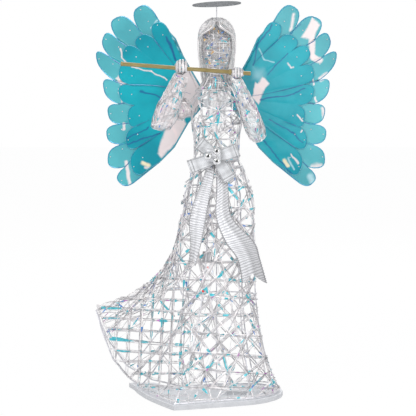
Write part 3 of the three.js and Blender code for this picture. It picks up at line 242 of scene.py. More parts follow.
def sheet_faces(across, down):
    """Faces of a closed sheet: a grid, the same grid behind it and the edges between them."""
    count = (across + 1) * (down + 1)
    faces = []
    for row in range(down):
        for column in range(across):
            a = row * (across + 1) + column
            b, c, d = a + 1, a + across + 2, a + across + 1
            faces += [(a, b, c, d), (count + d, count + c, count + b, count + a)]
    border = [(0, i) for i in range(across)] + [(j, across) for j in range(down)]
    border += [(down, i) for i in range(across, 0, -1)] + [(j, 0) for j in range(down, 0, -1)]
    ring = [row * (across + 1) + column for row, column in border]
    return faces + [(after, here, count + here, count + after) for here, after in zip(ring, ring[1:] + ring[:1])]


class Solid:
    """Vertices, faces and slots of several closed forms that make one piece."""
    smooth = True

    def __init__(self):
        self.vertices = []
        self.faces = []
        self.slots = []

    def put(self, made, slot=0, slots=None):
        vertices, faces = made
        base = len(self.vertices)
        self.vertices += [np.asarray(v, float) for v in vertices]
        self.faces += [tuple(base + index for index in face) for face in faces]
        self.slots += slots or [slot] * len(faces)

    def build(self, name, materials, body="figure"):
        return add_object(name, self.vertices, self.faces, materials, body, self.slots, self.smooth)


class Strands(Solid):
    """Flat film threads and wires, gathered into one mesh. Each is a tube of lens section."""
    smooth = False

    def add(self, points, outs, width, thickness, twists, slots):
        points = np.asarray(points, float)
        count = len(points)
        along = unit(np.gradient(points, axis=0))
        outs = unit(np.asarray(outs, float) - along * np.sum(outs * along, axis=1, keepdims=True))
        aside = np.cross(outs, along)
        turn = np.asarray(twists, float).reshape(-1, 1)
        flat = aside * np.cos(turn) + outs * np.sin(turn)
        edge = outs * np.cos(turn) - aside * np.sin(turn)
        width = np.broadcast_to(np.asarray(width, float), (count,)).reshape(-1, 1)
        ring = np.stack([flat * width / 2, edge * thickness / 2, -flat * width / 2, -edge * thickness / 2], axis=1)
        steps = [slots[min(index, len(slots) - 1)] for index in range(count - 1) for _ in range(4)]
        self.put(((points[:, None] + ring).reshape(-1, 3), ring_faces(count, 4, False)),
                 slots=steps + [slots[0], slots[-1]])

    def recolor(self, first, slot):
        """Gives one slot to every face from first on."""
        self.slots[first:] = [slot] * (len(self.slots) - first)


# The figure's surfaces, in millimetres, as in the model
CURVE_STEPS, TABLE_STEPS = 400, 200
OUT_STEP = 0.01


def both(place, fall):
    """Place and fall as arrays of one length."""
    return np.broadcast_arrays(np.asarray(place, float), np.asarray(fall, float))


def read_table(table, shares):
    """Each column of a table of even steps, read at shares from 0 to 1."""
    steps = np.linspace(0, 1, len(table))
    return [np.interp(shares, steps, column) for column in table.T]


def spline_point(points, place):
    """A point of a centripetal Catmull-Rom curve, at place from 0 to 1."""
    count = len(points)
    where = min(max(place, 0), 1) * (count - 1)
    index = min(int(where), count - 2)
    weight = where - index
    one, two = points[index], points[index + 1]
    before = points[index - 1] if index > 0 else 2 * points[0] - points[1]
    after = points[index + 2] if index + 2 < count else 2 * points[-1] - points[-2]
    spans = [float(np.sum((b - a) ** 2)) ** 0.25 for a, b in ((before, one), (one, two), (two, after))]
    middle = spans[1] if spans[1] > 1e-4 else 1.0
    first = spans[0] if spans[0] > 1e-4 else middle
    last = spans[2] if spans[2] > 1e-4 else middle
    leave = ((one - before) / first - (two - before) / (first + middle) + (two - one) / middle) * middle
    arrive = ((two - one) / middle - (after - one) / (middle + last) + (after - two) / last) * middle
    square = 3 * (two - one) - 2 * leave - arrive
    cube = 2 * (one - two) + leave + arrive
    return one + leave * weight + square * weight ** 2 + cube * weight ** 3


def even_curve(points):
    """Points at even lengths along the curve."""
    points = [np.asarray(p, float) for p in points]
    dense = np.array([spline_point(points, k / CURVE_STEPS / 2) for k in range(2 * CURVE_STEPS + 1)])
    lengths = np.concatenate([[0], np.cumsum(np.linalg.norm(np.diff(dense, axis=0), axis=1))])
    wanted = np.linspace(0, lengths[-1], CURVE_STEPS + 1)
    return np.stack([np.interp(wanted, lengths, dense[:, k]) for k in range(dense.shape[1])], axis=1)


WAIST = 556
WAIST_X, WAIST_Y = 51, 40
HEM_X, HEM_FRONT, HEM_BACK = 150, 110, 112
TRAIN_REACH, TRAIN_BACK, TRAIN_RISE = 290, 180, 180
HEM_LEVEL = 16.73


def hem_place(right=0.0, front=0.0, back=0.0, train=0.0, sweep=0.0, rise=0.0):
    return (right * HEM_X - train * TRAIN_REACH, back * HEM_BACK + sweep * TRAIN_BACK - front * HEM_FRONT,
            HEM_LEVEL + rise * TRAIN_RISE)


def train_places(rows):
    return [hem_place(train=t, sweep=s, rise=r) for t, s, r in rows]


HEMS = [
    [hem_place(right=r, front=f) for r, f in
     ((-0.63, 1), (-0.3, 0.86), (0, 0.72), (0.33, 0.58), (0.62, 0.41), (0.84, 0.12))]
    + [hem_place(right=0.97, back=0.2), hem_place(right=1, back=0.45)],
    [hem_place(right=r, back=b) for r, b in ((1, 0.45), (0.93, 0.82), (0.7, 1), (0.35, 1.02), (0, 1))],
    [hem_place(back=1), hem_place(right=-0.58, back=0.78), hem_place(right=-0.83, back=0.93)]
    + train_places([(0.53, 0.79, 0.02), (0.63, 0.95, 0.06), (0.74, 1.02, 0.17), (0.87, 0.97, 0.45),
                    (1, 0.83, 1)]),
    train_places([(1, 0.83, 1), (0.977, 0.78, 0.86), (0.94, 0.72, 0.68), (0.905, 0.69, 0.52),
                  (0.855, 0.68, 0.32), (0.775, 0.7, 0.12), (0.69, 0.74, 0), (0.63, 0.43, 0),
                  (0.545, 0.04, 0)])
    + [hem_place(train=0.435, front=0.5), hem_place(right=-0.63, front=1)],
]
HEM_CURVES = [even_curve(hem) for hem in HEMS]
FLARES = {"front": (0.12, 0, 2.9), "left": (0.37, 0, 4.5), "back": (0.37, 0, 4.5), "train": (0, 0.3, 5.5)}
PANELS = [("front", "left", -100, 0), ("left", "back", 0, 90), ("back", "train", 90, 175),
          ("train", "front", 175, 260)]
FLARE_EASE = 1.5
HIP_FALL = 0.22


def skirt(place, fall):
    """Points of the skirt: place runs round it from 0 to 4, a panel each; fall is 0 at the waist, 1 at the hem."""
    place, fall = both(np.mod(np.asarray(place, float), 4), fall)
    made = np.zeros((len(place), 3))
    for index, (start, stop, from_angle, to_angle) in enumerate(PANELS):
        chosen = (place >= index) & (place < index + 1)
        if not chosen.any():
            continue
        u = place[chosen] - index
        v = fall[chosen]
        share = 1 - (1 - u) ** FLARE_EASE if start == "train" else u ** FLARE_EASE
        hip, even, power = [a + (b - a) * share for a, b in zip(FLARES[start], FLARES[stop])]
        rise = 1 - (1 - np.minimum(v / HIP_FALL, 1)) ** 2
        flare = hip * rise + even * v + (1 - hip - even) * v ** power
        angle = np.radians(from_angle + (to_angle - from_angle) * u)
        x, y, z = read_table(HEM_CURVES[index], u)
        made[chosen, 0] = WAIST_X * np.cos(angle) * (1 - flare) + x * flare
        made[chosen, 1] = WAIST_Y * np.sin(angle) * (1 - flare) + y * flare
        made[chosen, 2] = WAIST + (z - WAIST) * v
    return made


def outward(surface, place, fall):
    """The way out of a surface at each place."""
    across = surface(place + OUT_STEP, fall) - surface(place - OUT_STEP, fall)
    down = surface(place, np.minimum(fall + OUT_STEP, 1)) - surface(place, np.maximum(fall - OUT_STEP, 0))
    return unit(np.cross(down, across))


TORSO_TOP, TORSO_HEIGHT = 719.98, 160
TORSO_X, TORSO_Y = 58, 48
TORSO_SHARES = [(0.6, 0.6), (1.02, 0.8), (1, 1), (0.98, 0.93), (0.91, 0.86), (0.88, 0.83),
                (WAIST_X / TORSO_X, WAIST_Y / TORSO_Y)]


def plain_spline(points, place):
    """A point of a uniform Catmull-Rom curve, as a flat spline gives it."""
    count = len(points)
    where = min(max(place, 0), 1) * (count - 1)
    index = min(int(where), count - 2) if where < count - 1 else count - 1
    weight = where - index
    a = points[max(index - 1, 0)]
    b = points[index]
    c = points[min(index + 1, count - 1)]
    d = points[min(index + 2, count - 1)]
    first, last = (c - a) / 2, (d - b) / 2
    return ((2 * b - 2 * c + first + last) * weight ** 3 + (-3 * b + 3 * c - 2 * first - last) * weight ** 2
            + first * weight + b)


def plain_table(points):
    points = [np.array(p, float) for p in points]
    return np.array([plain_spline(points, k / TABLE_STEPS) for k in range(TABLE_STEPS + 1)])


TORSO_TABLE = plain_table(TORSO_SHARES)


def torso(place, fall):
    """Points of the torso: place runs round it from 0 to 1 and starts at the figure's left."""
    place, fall = both(place, fall)
    x, y = read_table(TORSO_TABLE, fall)
    angle = 2 * np.pi * place
    return np.stack([TORSO_X * x * np.cos(angle), TORSO_Y * y * np.sin(angle), TORSO_TOP - TORSO_HEIGHT * fall],
                    axis=1)


# Film threads: pale strips that flash teal, violet or blue where they turn. Some steps take a darker or a lighter copy
# of the pearl film, painted shade and painted light, laid at random
PEARL, TEAL, VIOLET, BLUE, DIM, BRIGHT, AMBER = range(7)


def pale_film(name, dark, light, rough, coat):
    return mottled(name, dark, light, rough, 90, 0.1, 0.2, 0.0004, coat=coat)


def bright_film(name, dark, light, rough=(0.12, 0.3)):
    return mottled(name, dark, light, rough, 120, 0.2, 0.1, 0.0004, coat=0.5)


FILMS = [pale_film("pearl_film", (0.48, 0.47, 0.48), (0.80, 0.78, 0.79), (0.15, 0.4), 0.4),
         bright_film("teal_film", (0.03, 0.36, 0.43), (0.08, 0.52, 0.60)),
         bright_film("violet_film", (0.34, 0.07, 0.36), (0.58, 0.22, 0.56)),
         bright_film("blue_film", (0.06, 0.12, 0.50), (0.10, 0.34, 0.66)),
         # Painted shade and painted light: darker and lighter copies of the pearl film
         pale_film("shaded_film", (0.32, 0.32, 0.33), (0.54, 0.53, 0.54), (0.2, 0.5), 0.0),
         pale_film("bright_film", (0.72, 0.69, 0.69), (0.95, 0.91, 0.90), (0.15, 0.35), 0.4)]
DIM_SHARE, PEARL_SHARE = 0.18, 0.72
DRIFT_STEP = 5
RUN_GAP = 0.12


def film_slots(count, flashes, edge, runs=(1, 1, 2)):
    """A slot for each step of a thread, with short runs of colour."""
    slots = []
    while len(slots) < count:
        draw = rng.random()
        if draw < flashes:
            slots += [TEAL] * rng.choice(runs)
        elif draw < flashes + edge:
            slots += [rng.choice((VIOLET, BLUE))]
        elif draw < flashes + edge + DIM_SHARE:
            slots += [DIM] * rng.choice((1, 2, 3))
        else:
            slots += [PEARL if rng.random() < PEARL_SHARE else BRIGHT] * rng.choice((2, 3, 4))
    return slots[:count]


def lay_thread(strands, surface, places, falls, width, out, flashes, edge, wander, step=9.0, thickness=0.35,
               turns=0.45, runs=(1, 1, 2), broad=1.55):
    """A thread that follows places and falls over a surface, a little unevenly, and turns along its way.

    Its width, its distance out of the surface, how far it wanders and its steps are in millimetres. Flashes and
    edge are the shares of teal and of violet or blue; a flashing step is broader by the factor broad."""
    length = float(np.sum(np.linalg.norm(np.diff(surface(places, falls), axis=0), axis=1)))
    count = max(3, int(length / step))
    knots = np.linspace(0, 1, len(places))
    wanted = np.linspace(0, 1, count)
    u = np.interp(wanted, knots, places)
    v = np.interp(wanted, knots, falls)
    points = surface(u, v)
    outs = outward(surface, u, v)
    along = unit(np.gradient(points, axis=0))
    aside = np.cross(outs, along)
    knots = np.arange(0, count + DRIFT_STEP + 1, DRIFT_STEP)
    drift = np.interp(np.arange(count), knots, [rng.uniform(-wander, wander) for _ in knots])
    lift = np.array([rng.uniform(-0.5, 0.5) for _ in range(count)])
    points = points + aside * drift[:, None] + outs * (out + lift)[:, None]
    slots = film_slots(count, flashes, edge, runs)
    widths = np.array([width * (broad if slot in (TEAL, BLUE) else rng.uniform(0.55, 1.1)) for slot in slots])
    phase = rng.uniform(0, math.pi)
    twists = phase + np.cumsum([rng.uniform(-turns, turns) for _ in range(count)])
    twists = np.array([rng.uniform(-0.25, 0.25) if slot == TEAL else twist for slot, twist in zip(slots, twists)])
    strands.add(points, outs, widths, thickness, twists, slots)


def level_runs(half, across, up, level, keep):
    """Runs of places and falls on half of the skirt, where across * x + up * z keeps one level."""
    places, falls, xs, zs = half
    heights = across * xs + up * zs - level
    upright = abs(across) > abs(up)
    outer, inner = (falls, places) if upright else (places, falls)
    if upright:
        heights, xs, zs = heights.T, xs.T, zs.T
    runs, run = [], []
    for index, row in enumerate(heights):
        spots = [k for k in np.nonzero(row[:-1] * row[1:] <= 0)[0] if row[k] != row[k + 1]]
        found = [(inner[k] + (inner[k + 1] - inner[k]) * row[k] / (row[k] - row[k + 1]), k) for k in spots]
        found = [spot for spot in found if keep(xs[index, spot[1]], zs[index, spot[1]])]
        if run and found:
            found.sort(key=lambda spot: abs(spot[0] - run[-1][1]))
            if abs(found[0][0] - run[-1][1]) > RUN_GAP:
                runs.append(run)
                run = []
        elif run:
            runs.append(run)
            run = []
        if found:
            run.append((outer[index], found[0][0]))
    runs.append(run)
    return [np.array(run)[:, ::-1 if upright else 1] for run in runs if len(run) > 3]


def in_train(x, z):
    return x < -62 + 12 * math.sin(z * 0.05) and z < 272 + 14 * math.sin(x * 0.06)


def in_body(x, z):
    return not in_train(x + 14, z + 10)


# Each family of bundles: the share of x and of z whose level it keeps, its first and last level, its spacing,
# where it runs and how much of it flashes
WEB = [(0.04, 0.999, 0, 290, 25, in_train, 0.27), (0.999, -0.05, -300, -40, 25.5, in_train, 0.2),
       (0.77, 0.64, -200, 480, 31, in_body, 0.14), (-0.66, 0.75, -120, 520, 29, in_body, 0.15),
       (0.97, 0.24, -120, 300, 48, in_body, 0.09), (-0.9, 0.44, -120, 330, 52, in_body, 0.09),
       (0.06, 0.998, 20, 556, 42, in_body, 0.16), (0.75, 0.66, -200, 100, 80, in_train, 0.06),
       (-0.72, 0.69, 100, 420, 80, in_train, 0.06)]
GRID_AROUND, GRID_DOWN = 97, 61
TRAIN_PIVOT = 180
BUNDLE_SPREAD = 2.5
BARE_HEM, NO_BARE_HEM = 28, -60


def seen_half(first, last):
    """A grid of places and falls on half of the skirt, with each point's x and z as the camera sees it."""
    places, falls = np.linspace(first, last, GRID_AROUND), np.linspace(0.002, 0.998, GRID_DOWN)
    grid = skirt(np.repeat(places, GRID_DOWN), np.tile(falls, GRID_AROUND))
    depth = CAMERA_DISTANCE / (CAMERA_DISTANCE + grid[:, 1])
    return (places, falls, ((grid[:, 0] - CAMERA_X) * depth + CAMERA_X).reshape(GRID_AROUND, GRID_DOWN),
            ((grid[:, 2] - CAMERA_HEIGHT) * depth + CAMERA_HEIGHT).reshape(GRID_AROUND, GRID_DOWN))


def web_threads(strands, halves):
    for across, up, low, high, spacing, keep, flashes in WEB:
        level = low + rng.uniform(0, spacing / 2)
        pivot = TRAIN_PIVOT if keep is in_train else 0
        runs = (1, 2, 2) if keep is in_train else (1, 1, 2)
        while level < high:
            tilt = rng.uniform(-0.06, 0.06)
            for repeat in range(3):
                lean = tilt + rng.uniform(-0.018, 0.018)
                shift = BUNDLE_SPREAD * (repeat - 1) + rng.uniform(-0.6, 0.6)
                for half in halves:
                    bare = BARE_HEM if half is halves[0] and repeat != 1 else NO_BARE_HEM
                    for run in level_runs(half, across + lean, up, level + shift - lean * pivot,
                                          lambda x, z: keep(x, z) and z > bare):
                        lay_thread(strands, skirt, run[:, 0], run[:, 1], 2.9, 0.7 * (repeat - 1),
                                   flashes if repeat == 1 else flashes * 0.2, 0.02, 0.9, 9, turns=0.3, runs=runs,
                                   broad=2.1)
            level += spacing * rng.uniform(0.88, 1.12)


def skirt_threads():
    """Threads in bundles: an upright lattice over the train, and a web of slanting ones over the rest."""
    strands = Strands()
    halves = [seen_half(-1.0, 1.0), seen_half(1.0, 3.0)]
    web_threads(strands, halves)
    for repeat in range(5):
        for run in level_runs(halves[0], rng.uniform(-0.02, 0.02), 1, 27 + 1.5 * repeat, lambda x, z: True):
            lay_thread(strands, skirt, run[:, 0], run[:, 1], 2.2, rng.uniform(-0.6, 1.2), 0.04, 0.03, 1.2, 9)
    for _ in range(60):
        slope = rng.choice((-1, 1)) * rng.uniform(0.25, 0.9)
        top = rng.uniform(-0.05, 0.85)
        falls = np.clip(np.linspace(top, top + rng.uniform(0.12, 0.34), 12), 0.002, 0.998)
        places = rng.uniform(0, 4) + slope * (falls - falls[0])
        lay_thread(strands, skirt, places, falls, 1.8, rng.uniform(-0.6, 1.2), 0.04, 0.04, 1.0)
    for index in range(9):
        falls = np.linspace(rng.uniform(0.1, 0.3), 0.995, 24)
        places = 3.0 + 0.045 * np.sin(falls * rng.uniform(14, 30) + index)
        lay_thread(strands, skirt, places, falls, 2.2, rng.uniform(-0.6, 1.2), 0.05, 0.08, 1.2, 7)
    for index in range(30):
        falls = np.linspace(rng.uniform(0.28, 0.5), 0.995, 26)
        places = 2.98 + rng.uniform(-0.18, 0.18) + 0.05 * np.sin(falls * rng.uniform(10, 26) + index)
        lay_thread(strands, skirt, places, falls, 2.2, rng.uniform(-0.6, 1.2), 0.05, 0.12, 1.2, 7)
    for fall in (0.004, 0.994):
        for repeat in range(2):
            lay_thread(strands, skirt, np.linspace(0, 4, 160), np.full(160, fall - 0.004 * repeat), 2.4, 0.4,
                       0.03, 0.03, 0.6)
    obj = strands.build("skirt_threads", FILMS)
    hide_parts("skirt_net_front_left", "skirt_net_back_left", "skirt_net_back_right", "skirt_net_front_right")


# Each star: its place and fall, its number of arms and their reach
STARS = [(0.757, 0.30, 12, 0.30), (0.752, 0.05, 8, 0.14), (0.75, 0.70, 10, 0.26), (0.66, 0.52, 7, 0.16),
         (0.85, 0.5, 7, 0.16)]


def torso_threads():
    """Stars of threads with open cells on the chest, and a dense web at the sides."""
    strands = Strands()
    lines = []
    for place, fall, arms, reach in STARS:
        turns = [2 * math.pi * (index + rng.uniform(-0.25, 0.25)) / arms for index in range(arms)]
        tips = [(place + 0.42 * reach * rng.uniform(0.85, 1.2) * math.cos(turn),
                 fall + reach * rng.uniform(0.85, 1.15) * math.sin(turn)) for turn in turns]
        lines += [((place, fall), tip) for tip in tips]
        lines += [(tip, tips[index - 1]) for index, tip in enumerate(tips)]
    stars = len(lines)
    for _ in range(64):
        place, fall = rng.choice((0.5, 1.0)) + rng.uniform(-0.14, 0.14), rng.random()
        turn = rng.choice((-1, 1)) * rng.uniform(0.3, 1.3)
        reach = rng.uniform(0.14, 0.3)
        lines.append(((place, fall), (place + 0.3 * reach * math.cos(turn), fall + reach * math.sin(turn))))
    for _ in range(14):
        place, fall, turn = rng.uniform(0.08, 0.42), rng.random(), rng.uniform(-1.2, 1.2)
        lines.append(((place, fall), (place + 0.14 * math.cos(turn), fall + 0.4 * math.sin(turn))))
    for row in (0.0, 0.5, 0.86, 1.0):
        lines.append(((0, row), (1, row)))
    for column in range(8):
        place = (column + rng.uniform(-0.25, 0.25)) / 8
        lines.append(((place, 0), (place + rng.uniform(-0.04, 0.04), 1)))
    for index, (start, stop) in enumerate(lines):
        for repeat in range(3 if index < stars else 2):
            shift = 0.006 * (repeat - 0.5) + rng.uniform(-0.002, 0.002)
            places = np.linspace(start[0], stop[0], 24) + shift
            falls = np.linspace(start[1], stop[1], 24) + 1.6 * shift
            inside = (falls >= -0.01) & (falls <= 1.01)
            if inside.sum() > 4:
                lay_thread(strands, torso, places[inside], np.clip(falls[inside], 0.002, 0.998),
                           2.7 if index < stars else 1.9, 0.6 * repeat, 0.09, 0.04, 0.6, 7, turns=0.2, broad=1.5)
    obj = strands.build("torso_threads", FILMS)
    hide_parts("torso_net_back", "torso_net_front")


skirt_threads()
torso_threads()


# Shared solids
def circle(sides):
    return [2 * math.pi * side / sides for side in range(sides)]


def tube_ring(points, radius, sides, closed, normals):
    """Vertices and faces of a round wire along points, each with a normal across it."""
    points = np.asarray(points, float)
    normals = np.asarray(normals, float)
    if closed:
        along = unit(np.roll(points, -1, axis=0) - np.roll(points, 1, axis=0))
    else:
        along = unit(np.gradient(points, axis=0))
    normals = unit(normals - along * np.sum(normals * along, axis=1, keepdims=True))
    aside = np.cross(normals, along)
    vertices = [point + radius * (across * math.cos(angle) + normal * math.sin(angle))
                for point, across, normal in zip(points, aside, normals) for angle in circle(sides)]
    return vertices, ring_faces(len(points), sides, closed)


def turned(profile, sides, place=(0, 0, 0), closed=False):
    """A form turned about an upright axis, from pairs of radius and height."""
    vertices = [(place[0] + radius * math.cos(angle), place[1] + radius * math.sin(angle), place[2] + height)
                for radius, height in profile for angle in circle(sides)]
    return vertices, ring_faces(len(profile), sides, closed)


def ball(centre, radius, sides, rings):
    profile = [(radius * math.sin(math.pi * k / rings), -radius * math.cos(math.pi * k / rings))
               for k in range(rings + 1)]
    profile[0] = (radius * 0.05, profile[0][1])
    profile[-1] = (radius * 0.05, profile[-1][1])
    return turned(profile, sides, centre)


# Wings: lobed films over wire outlines
WING_REACH, WING_TOP, WING_DROP, WING_SWEEP = 278, 903, 411, 0.31
HINGE_X, HINGE_Y = 18, 62
ROOT_SHARE = 0.06
OUTER_TIPS = [(0.612, 0), (0.81, 0.06), (0.93, 0.172), (0.993, 0.287), (0.93, 0.456), (0.89, 0.607),
              (0.904, 0.728), (0.895, 0.862), (0.788, 1)]
OUTER_VALLEYS = [(0.434, 0.077), (0.6, 0.14), (0.788, 0.192), (0.85, 0.293), (0.823, 0.421), (0.792, 0.549),
                 (0.757, 0.662), (0.73, 0.775), (0.741, 0.908), (0.627, 0.977)]
INNER_TIPS = [(0.453, 0.089), (0.61, 0.169), (0.739, 0.238), (0.785, 0.365), (0.785, 0.49), (0.705, 0.633),
              (0.725, 0.759), (0.672, 0.915)]
UPPER_EDGE = [(ROOT_SHARE, 0.45), (0.173, 0.33), (0.224, 0.272), (0.289, 0.177)]
LOWER_EDGE = [(0.431, 0.874), (0.302, 0.788), (0.18, 0.65), (ROOT_SHARE, 0.56)]
WIRE = 1.2
OUTER_FACE, INNER_WIRE_Y, INNER_FACE = -1.5, -3.8, -5.3
LOBE_STEPS, LOBE_EASE = 11, 0.72
VALLEY_SHARE = 0.86
FILM_RINGS = 16
SPOKES = (1, 4, 7)
HINGE_LENGTH, HINGE_BORE, HINGE_BARREL = 27.63, 2.3, 4.5
HINGE_Z = WING_TOP - 0.535 * WING_DROP
# Creases that run in from the valleys between lobes: a valley's number and the share of the way to the root
OUTER_CREASES = ((0, 0.55), (1, 0.6), (2, 0.5), (3, 0.35), (4, 0.6), (5, 0.3), (6, 0.4), (7, 0.35), (8, 0.3))
INNER_CREASES = ((1, 0.5), (4, 0.86), (6, 0.2), (7, 0.6))


def wing_flat(share):
    return np.array([share[0] * WING_REACH, WING_TOP - share[1] * WING_DROP])


def wing_place(side, x, y, z):
    turn = side * WING_SWEEP
    across = side * x
    return np.array([side * HINGE_X + math.cos(turn) * across - math.sin(turn) * y,
                     HINGE_Y + math.sin(turn) * across + math.cos(turn) * y, z])


def rounded(value):
    return math.copysign(abs(value) ** LOBE_EASE, value)


def lobe(start, tip, stop):
    middle = (start + stop) / 2
    made = []
    for index in range(LOBE_STEPS):
        angle = math.pi * (index + 1) / (LOBE_STEPS + 1)
        made.append(middle + (start - middle) * rounded(math.cos(angle)) + (tip - middle) * rounded(math.sin(angle)))
    return made


WING_ROOT = wing_flat((ROOT_SHARE, 0.505))


def wing_outline(tips, valleys):
    """The outline, and for each of its points how far it is along its lobe, from 0 to 1."""
    points = [wing_flat(share) for share in UPPER_EDGE]
    along = [0.0] * len(points)
    for index, tip in enumerate(tips):
        points.append(valleys[index])
        along.append(0.0)
        points += lobe(valleys[index], tip, valleys[index + 1])
        along += [(step + 1) / (LOBE_STEPS + 1) for step in range(LOBE_STEPS)]
    points.append(valleys[-1])
    points += [wing_flat(share) for share in LOWER_EDGE]
    along += [0.0] * (1 + len(LOWER_EDGE))
    return points, along


outer_tips = [wing_flat(share) for share in OUTER_TIPS]
outer_valleys = [wing_flat(share) for share in OUTER_VALLEYS]
inner_tips = [wing_flat(share) for share in INNER_TIPS]
inner_valleys = []
for index in range(len(inner_tips) + 1):
    between = (inner_tips[max(index - 1, 0)] + inner_tips[min(index, len(inner_tips) - 1)]) / 2
    inner_valleys.append(WING_ROOT + (between - WING_ROOT) * VALLEY_SHARE)
inner_valleys[0] = wing_flat((0.33, 0.15))
inner_valleys[-1] = wing_flat((0.53, 0.915))


def operate(tree, kind, *values):
    return add_node(tree, "Math", dict(enumerate(values)), operation=kind).outputs["Value"]


def vector_operate(tree, kind, *values):
    made = add_node(tree, "VectorMath", dict(enumerate(values)), operation=kind)
    return made.outputs["Value" if kind in ("DOT_PRODUCT", "LENGTH") else "Vector"]


def soft_step(tree, value, low, high):
    """A smooth mask that is 0 at low and 1 at high."""
    rising = low < high
    return add_node(tree, "MapRange", {"From Min": min(low, high), "From Max": max(low, high), "To Min": 1 - rising,
                                       "To Max": int(rising), "Value": value},
                    interpolation_type="SMOOTHSTEP").outputs["Result"]


def streak(tree, point, start, stop, radius, soft):
    """A mask within a soft radius of the line from start to stop, seen from the front."""
    start = Vector((start[0], 0, start[1])) * MM
    span = Vector((stop[0], 0, stop[1])) * MM - start
    offset = vector_operate(tree, "SUBTRACT", point, tuple(start))
    share = vector_operate(tree, "DOT_PRODUCT", offset, tuple(span / span.length_squared))
    held = add_node(tree, "Clamp", {"Value": share}).outputs["Result"]
    along = add_node(tree, "VectorMath", {}, operation="SCALE")
    set_inputs(tree, along, {0: tuple(span), "Scale": held})
    away = vector_operate(tree, "SUBTRACT", offset, along.outputs["Vector"])
    return soft_step(tree, vector_operate(tree, "LENGTH", away), (radius + soft) * MM, (radius - soft) * MM)


def patch(tree, point, corners, soft):
    """A mask inside a convex outline, seen from the front."""
    corners = [Vector(corner) for corner in corners]
    middle = sum(corners, Vector((0, 0))) / len(corners)
    least = None
    for index, start in enumerate(corners):
        way = (corners[(index + 1) % len(corners)] - start).normalized()
        inward = Vector((-way.y, way.x))
        if inward.dot(middle - start) < 0:
            inward = -inward
        edge = vector_operate(tree, "DOT_PRODUCT", point, (inward.x, 0, inward.y))
        depth = operate(tree, "SUBTRACT", edge, inward.dot(start) * MM)
        least = depth if least is None else operate(tree, "MINIMUM", least, depth)
    return soft_step(tree, least, -soft * MM, soft * MM)


def tinted(tree, base, mask, color, share):
    return add_node(tree, "Mix", {"Factor": operate(tree, "MULTIPLY", mask, share), "A": base, "B": (*color, 1)},
                    data_type="RGBA").outputs["Result"]


SHAKE = 0.014


def film_material(name, low, high, marks, alpha):
    """Iridescent film: a teal that varies, with painted reflections (glints, and pale streaks where it is bent) and
    painted shade along creases.
    """
    material, tree, shader = new_material(name)
    point = coordinates(tree)
    base = ramp(tree, noise(tree, point, 9), [(0.35, low), (0.65, high)])
    shake = vector_operate(tree, "MULTIPLY_ADD", noise(tree, point, 38, output="Color"), (SHAKE, 0, SHAKE),
                           (-SHAKE / 2, 0, -SHAKE / 2))
    bent = vector_operate(tree, "MULTIPLY", vector_operate(tree, "ADD", point, shake), (1, 0, 1))
    for color, share, places, width, soft in marks:
        if width:
            for start, stop in zip(places, places[1:]):
                base = tinted(tree, base, streak(tree, bent, start, stop, width, soft), color, share)
        else:
            base = tinted(tree, base, patch(tree, bent, places, soft), color, share)
    set_inputs(tree, shader, {"Base Color": base, "Roughness": 0.24, "Coat Weight": 0.1, "Coat Roughness": 0.05,
                              "Specular IOR Level": 0.2, "Alpha": alpha})
    bump(tree, shader, noise(tree, point, 22, 2), 0.35, 0.005)
    return material


# Colours of the painted reflections on the wing films, and of the painted shade along their creases
PINK_REFLECTION = (0.80, 0.68, 0.67)
CREAM_REFLECTION = (0.90, 0.76, 0.50)
HAZE_REFLECTION = (0.40, 0.62, 0.68)
NAVY_CREASE_SHADE = (0.01, 0.10, 0.26)
OUTER_LOW, OUTER_HIGH = (0.02, 0.30, 0.35), (0.05, 0.41, 0.46)
INNER_LOW, INNER_HIGH = (0.001, 0.25, 0.32), (0.004, 0.37, 0.44)
# Painted light and shade on a wing's films: pink, cream and hazy reflections, and navy shade along creases. By side,
# in the order in which they lie over each other: colour, strength, places in millimetres as seen from the front, half
# width (0 for a filled patch) and softness
outer_painted_light = {
    1: [(PINK_REFLECTION, 0.95, [(179, 884), (172, 850)], 3, 4),
        (PINK_REFLECTION, 0.95, [(224, 879), (240, 862), (224, 825), (198, 834)], 0, 3),
        (PINK_REFLECTION, 0.9, [(222, 825), (224, 788), (240, 780)], 7, 3), (PINK_REFLECTION, 0.85, [(244, 734), (260, 745)], 5, 3),
        (PINK_REFLECTION, 0.8, [(267, 722), (267, 698)], 4, 3), (PINK_REFLECTION, 0.8, [(251, 667), (251, 641)], 4, 3),
        (PINK_REFLECTION, 0.75, [(225, 532), (247, 531)], 5, 4), (HAZE_REFLECTION, 0.8, [(222, 506), (230, 489)], 8, 6),
        (PINK_REFLECTION, 0.9, [(223, 744), (227, 722)], 1.6, 1), (PINK_REFLECTION, 0.85, [(231, 693), (236, 679)], 2, 1.2),
        (HAZE_REFLECTION, 0.7, [(205, 812), (193, 756)], 2, 1.4), (NAVY_CREASE_SHADE, 0.6, [(194, 860), (150, 826)], 1.5, 1.2)],
    -1: [(PINK_REFLECTION, 0.95, [(-235, 737), (-222, 749), (-200, 751), (-209, 710)], 0, 2.5),
         (PINK_REFLECTION, 0.9, [(-229, 704), (-213, 704), (-220, 678)], 0, 2), (PINK_REFLECTION, 0.85, [(-216, 632), (-217, 618)], 3, 2),
         (PINK_REFLECTION, 0.9, [(-213, 544), (-204, 492)], 4, 2.5),
         (PINK_REFLECTION, 0.85, [(-222, 806), (-220, 789), (-193, 751)], 1.7, 1.2),
         (PINK_REFLECTION, 0.7, [(-182, 827), (-171, 798), (-152, 780)], 1.7, 1.2),
         (HAZE_REFLECTION, 0.8, [(-136, 872), (-150, 855), (-139, 835), (-106, 839)], 1.8, 1.4),
         (HAZE_REFLECTION, 0.75, [(-130, 866), (-114, 866), (-114, 841), (-130, 841)], 0, 4)],
}
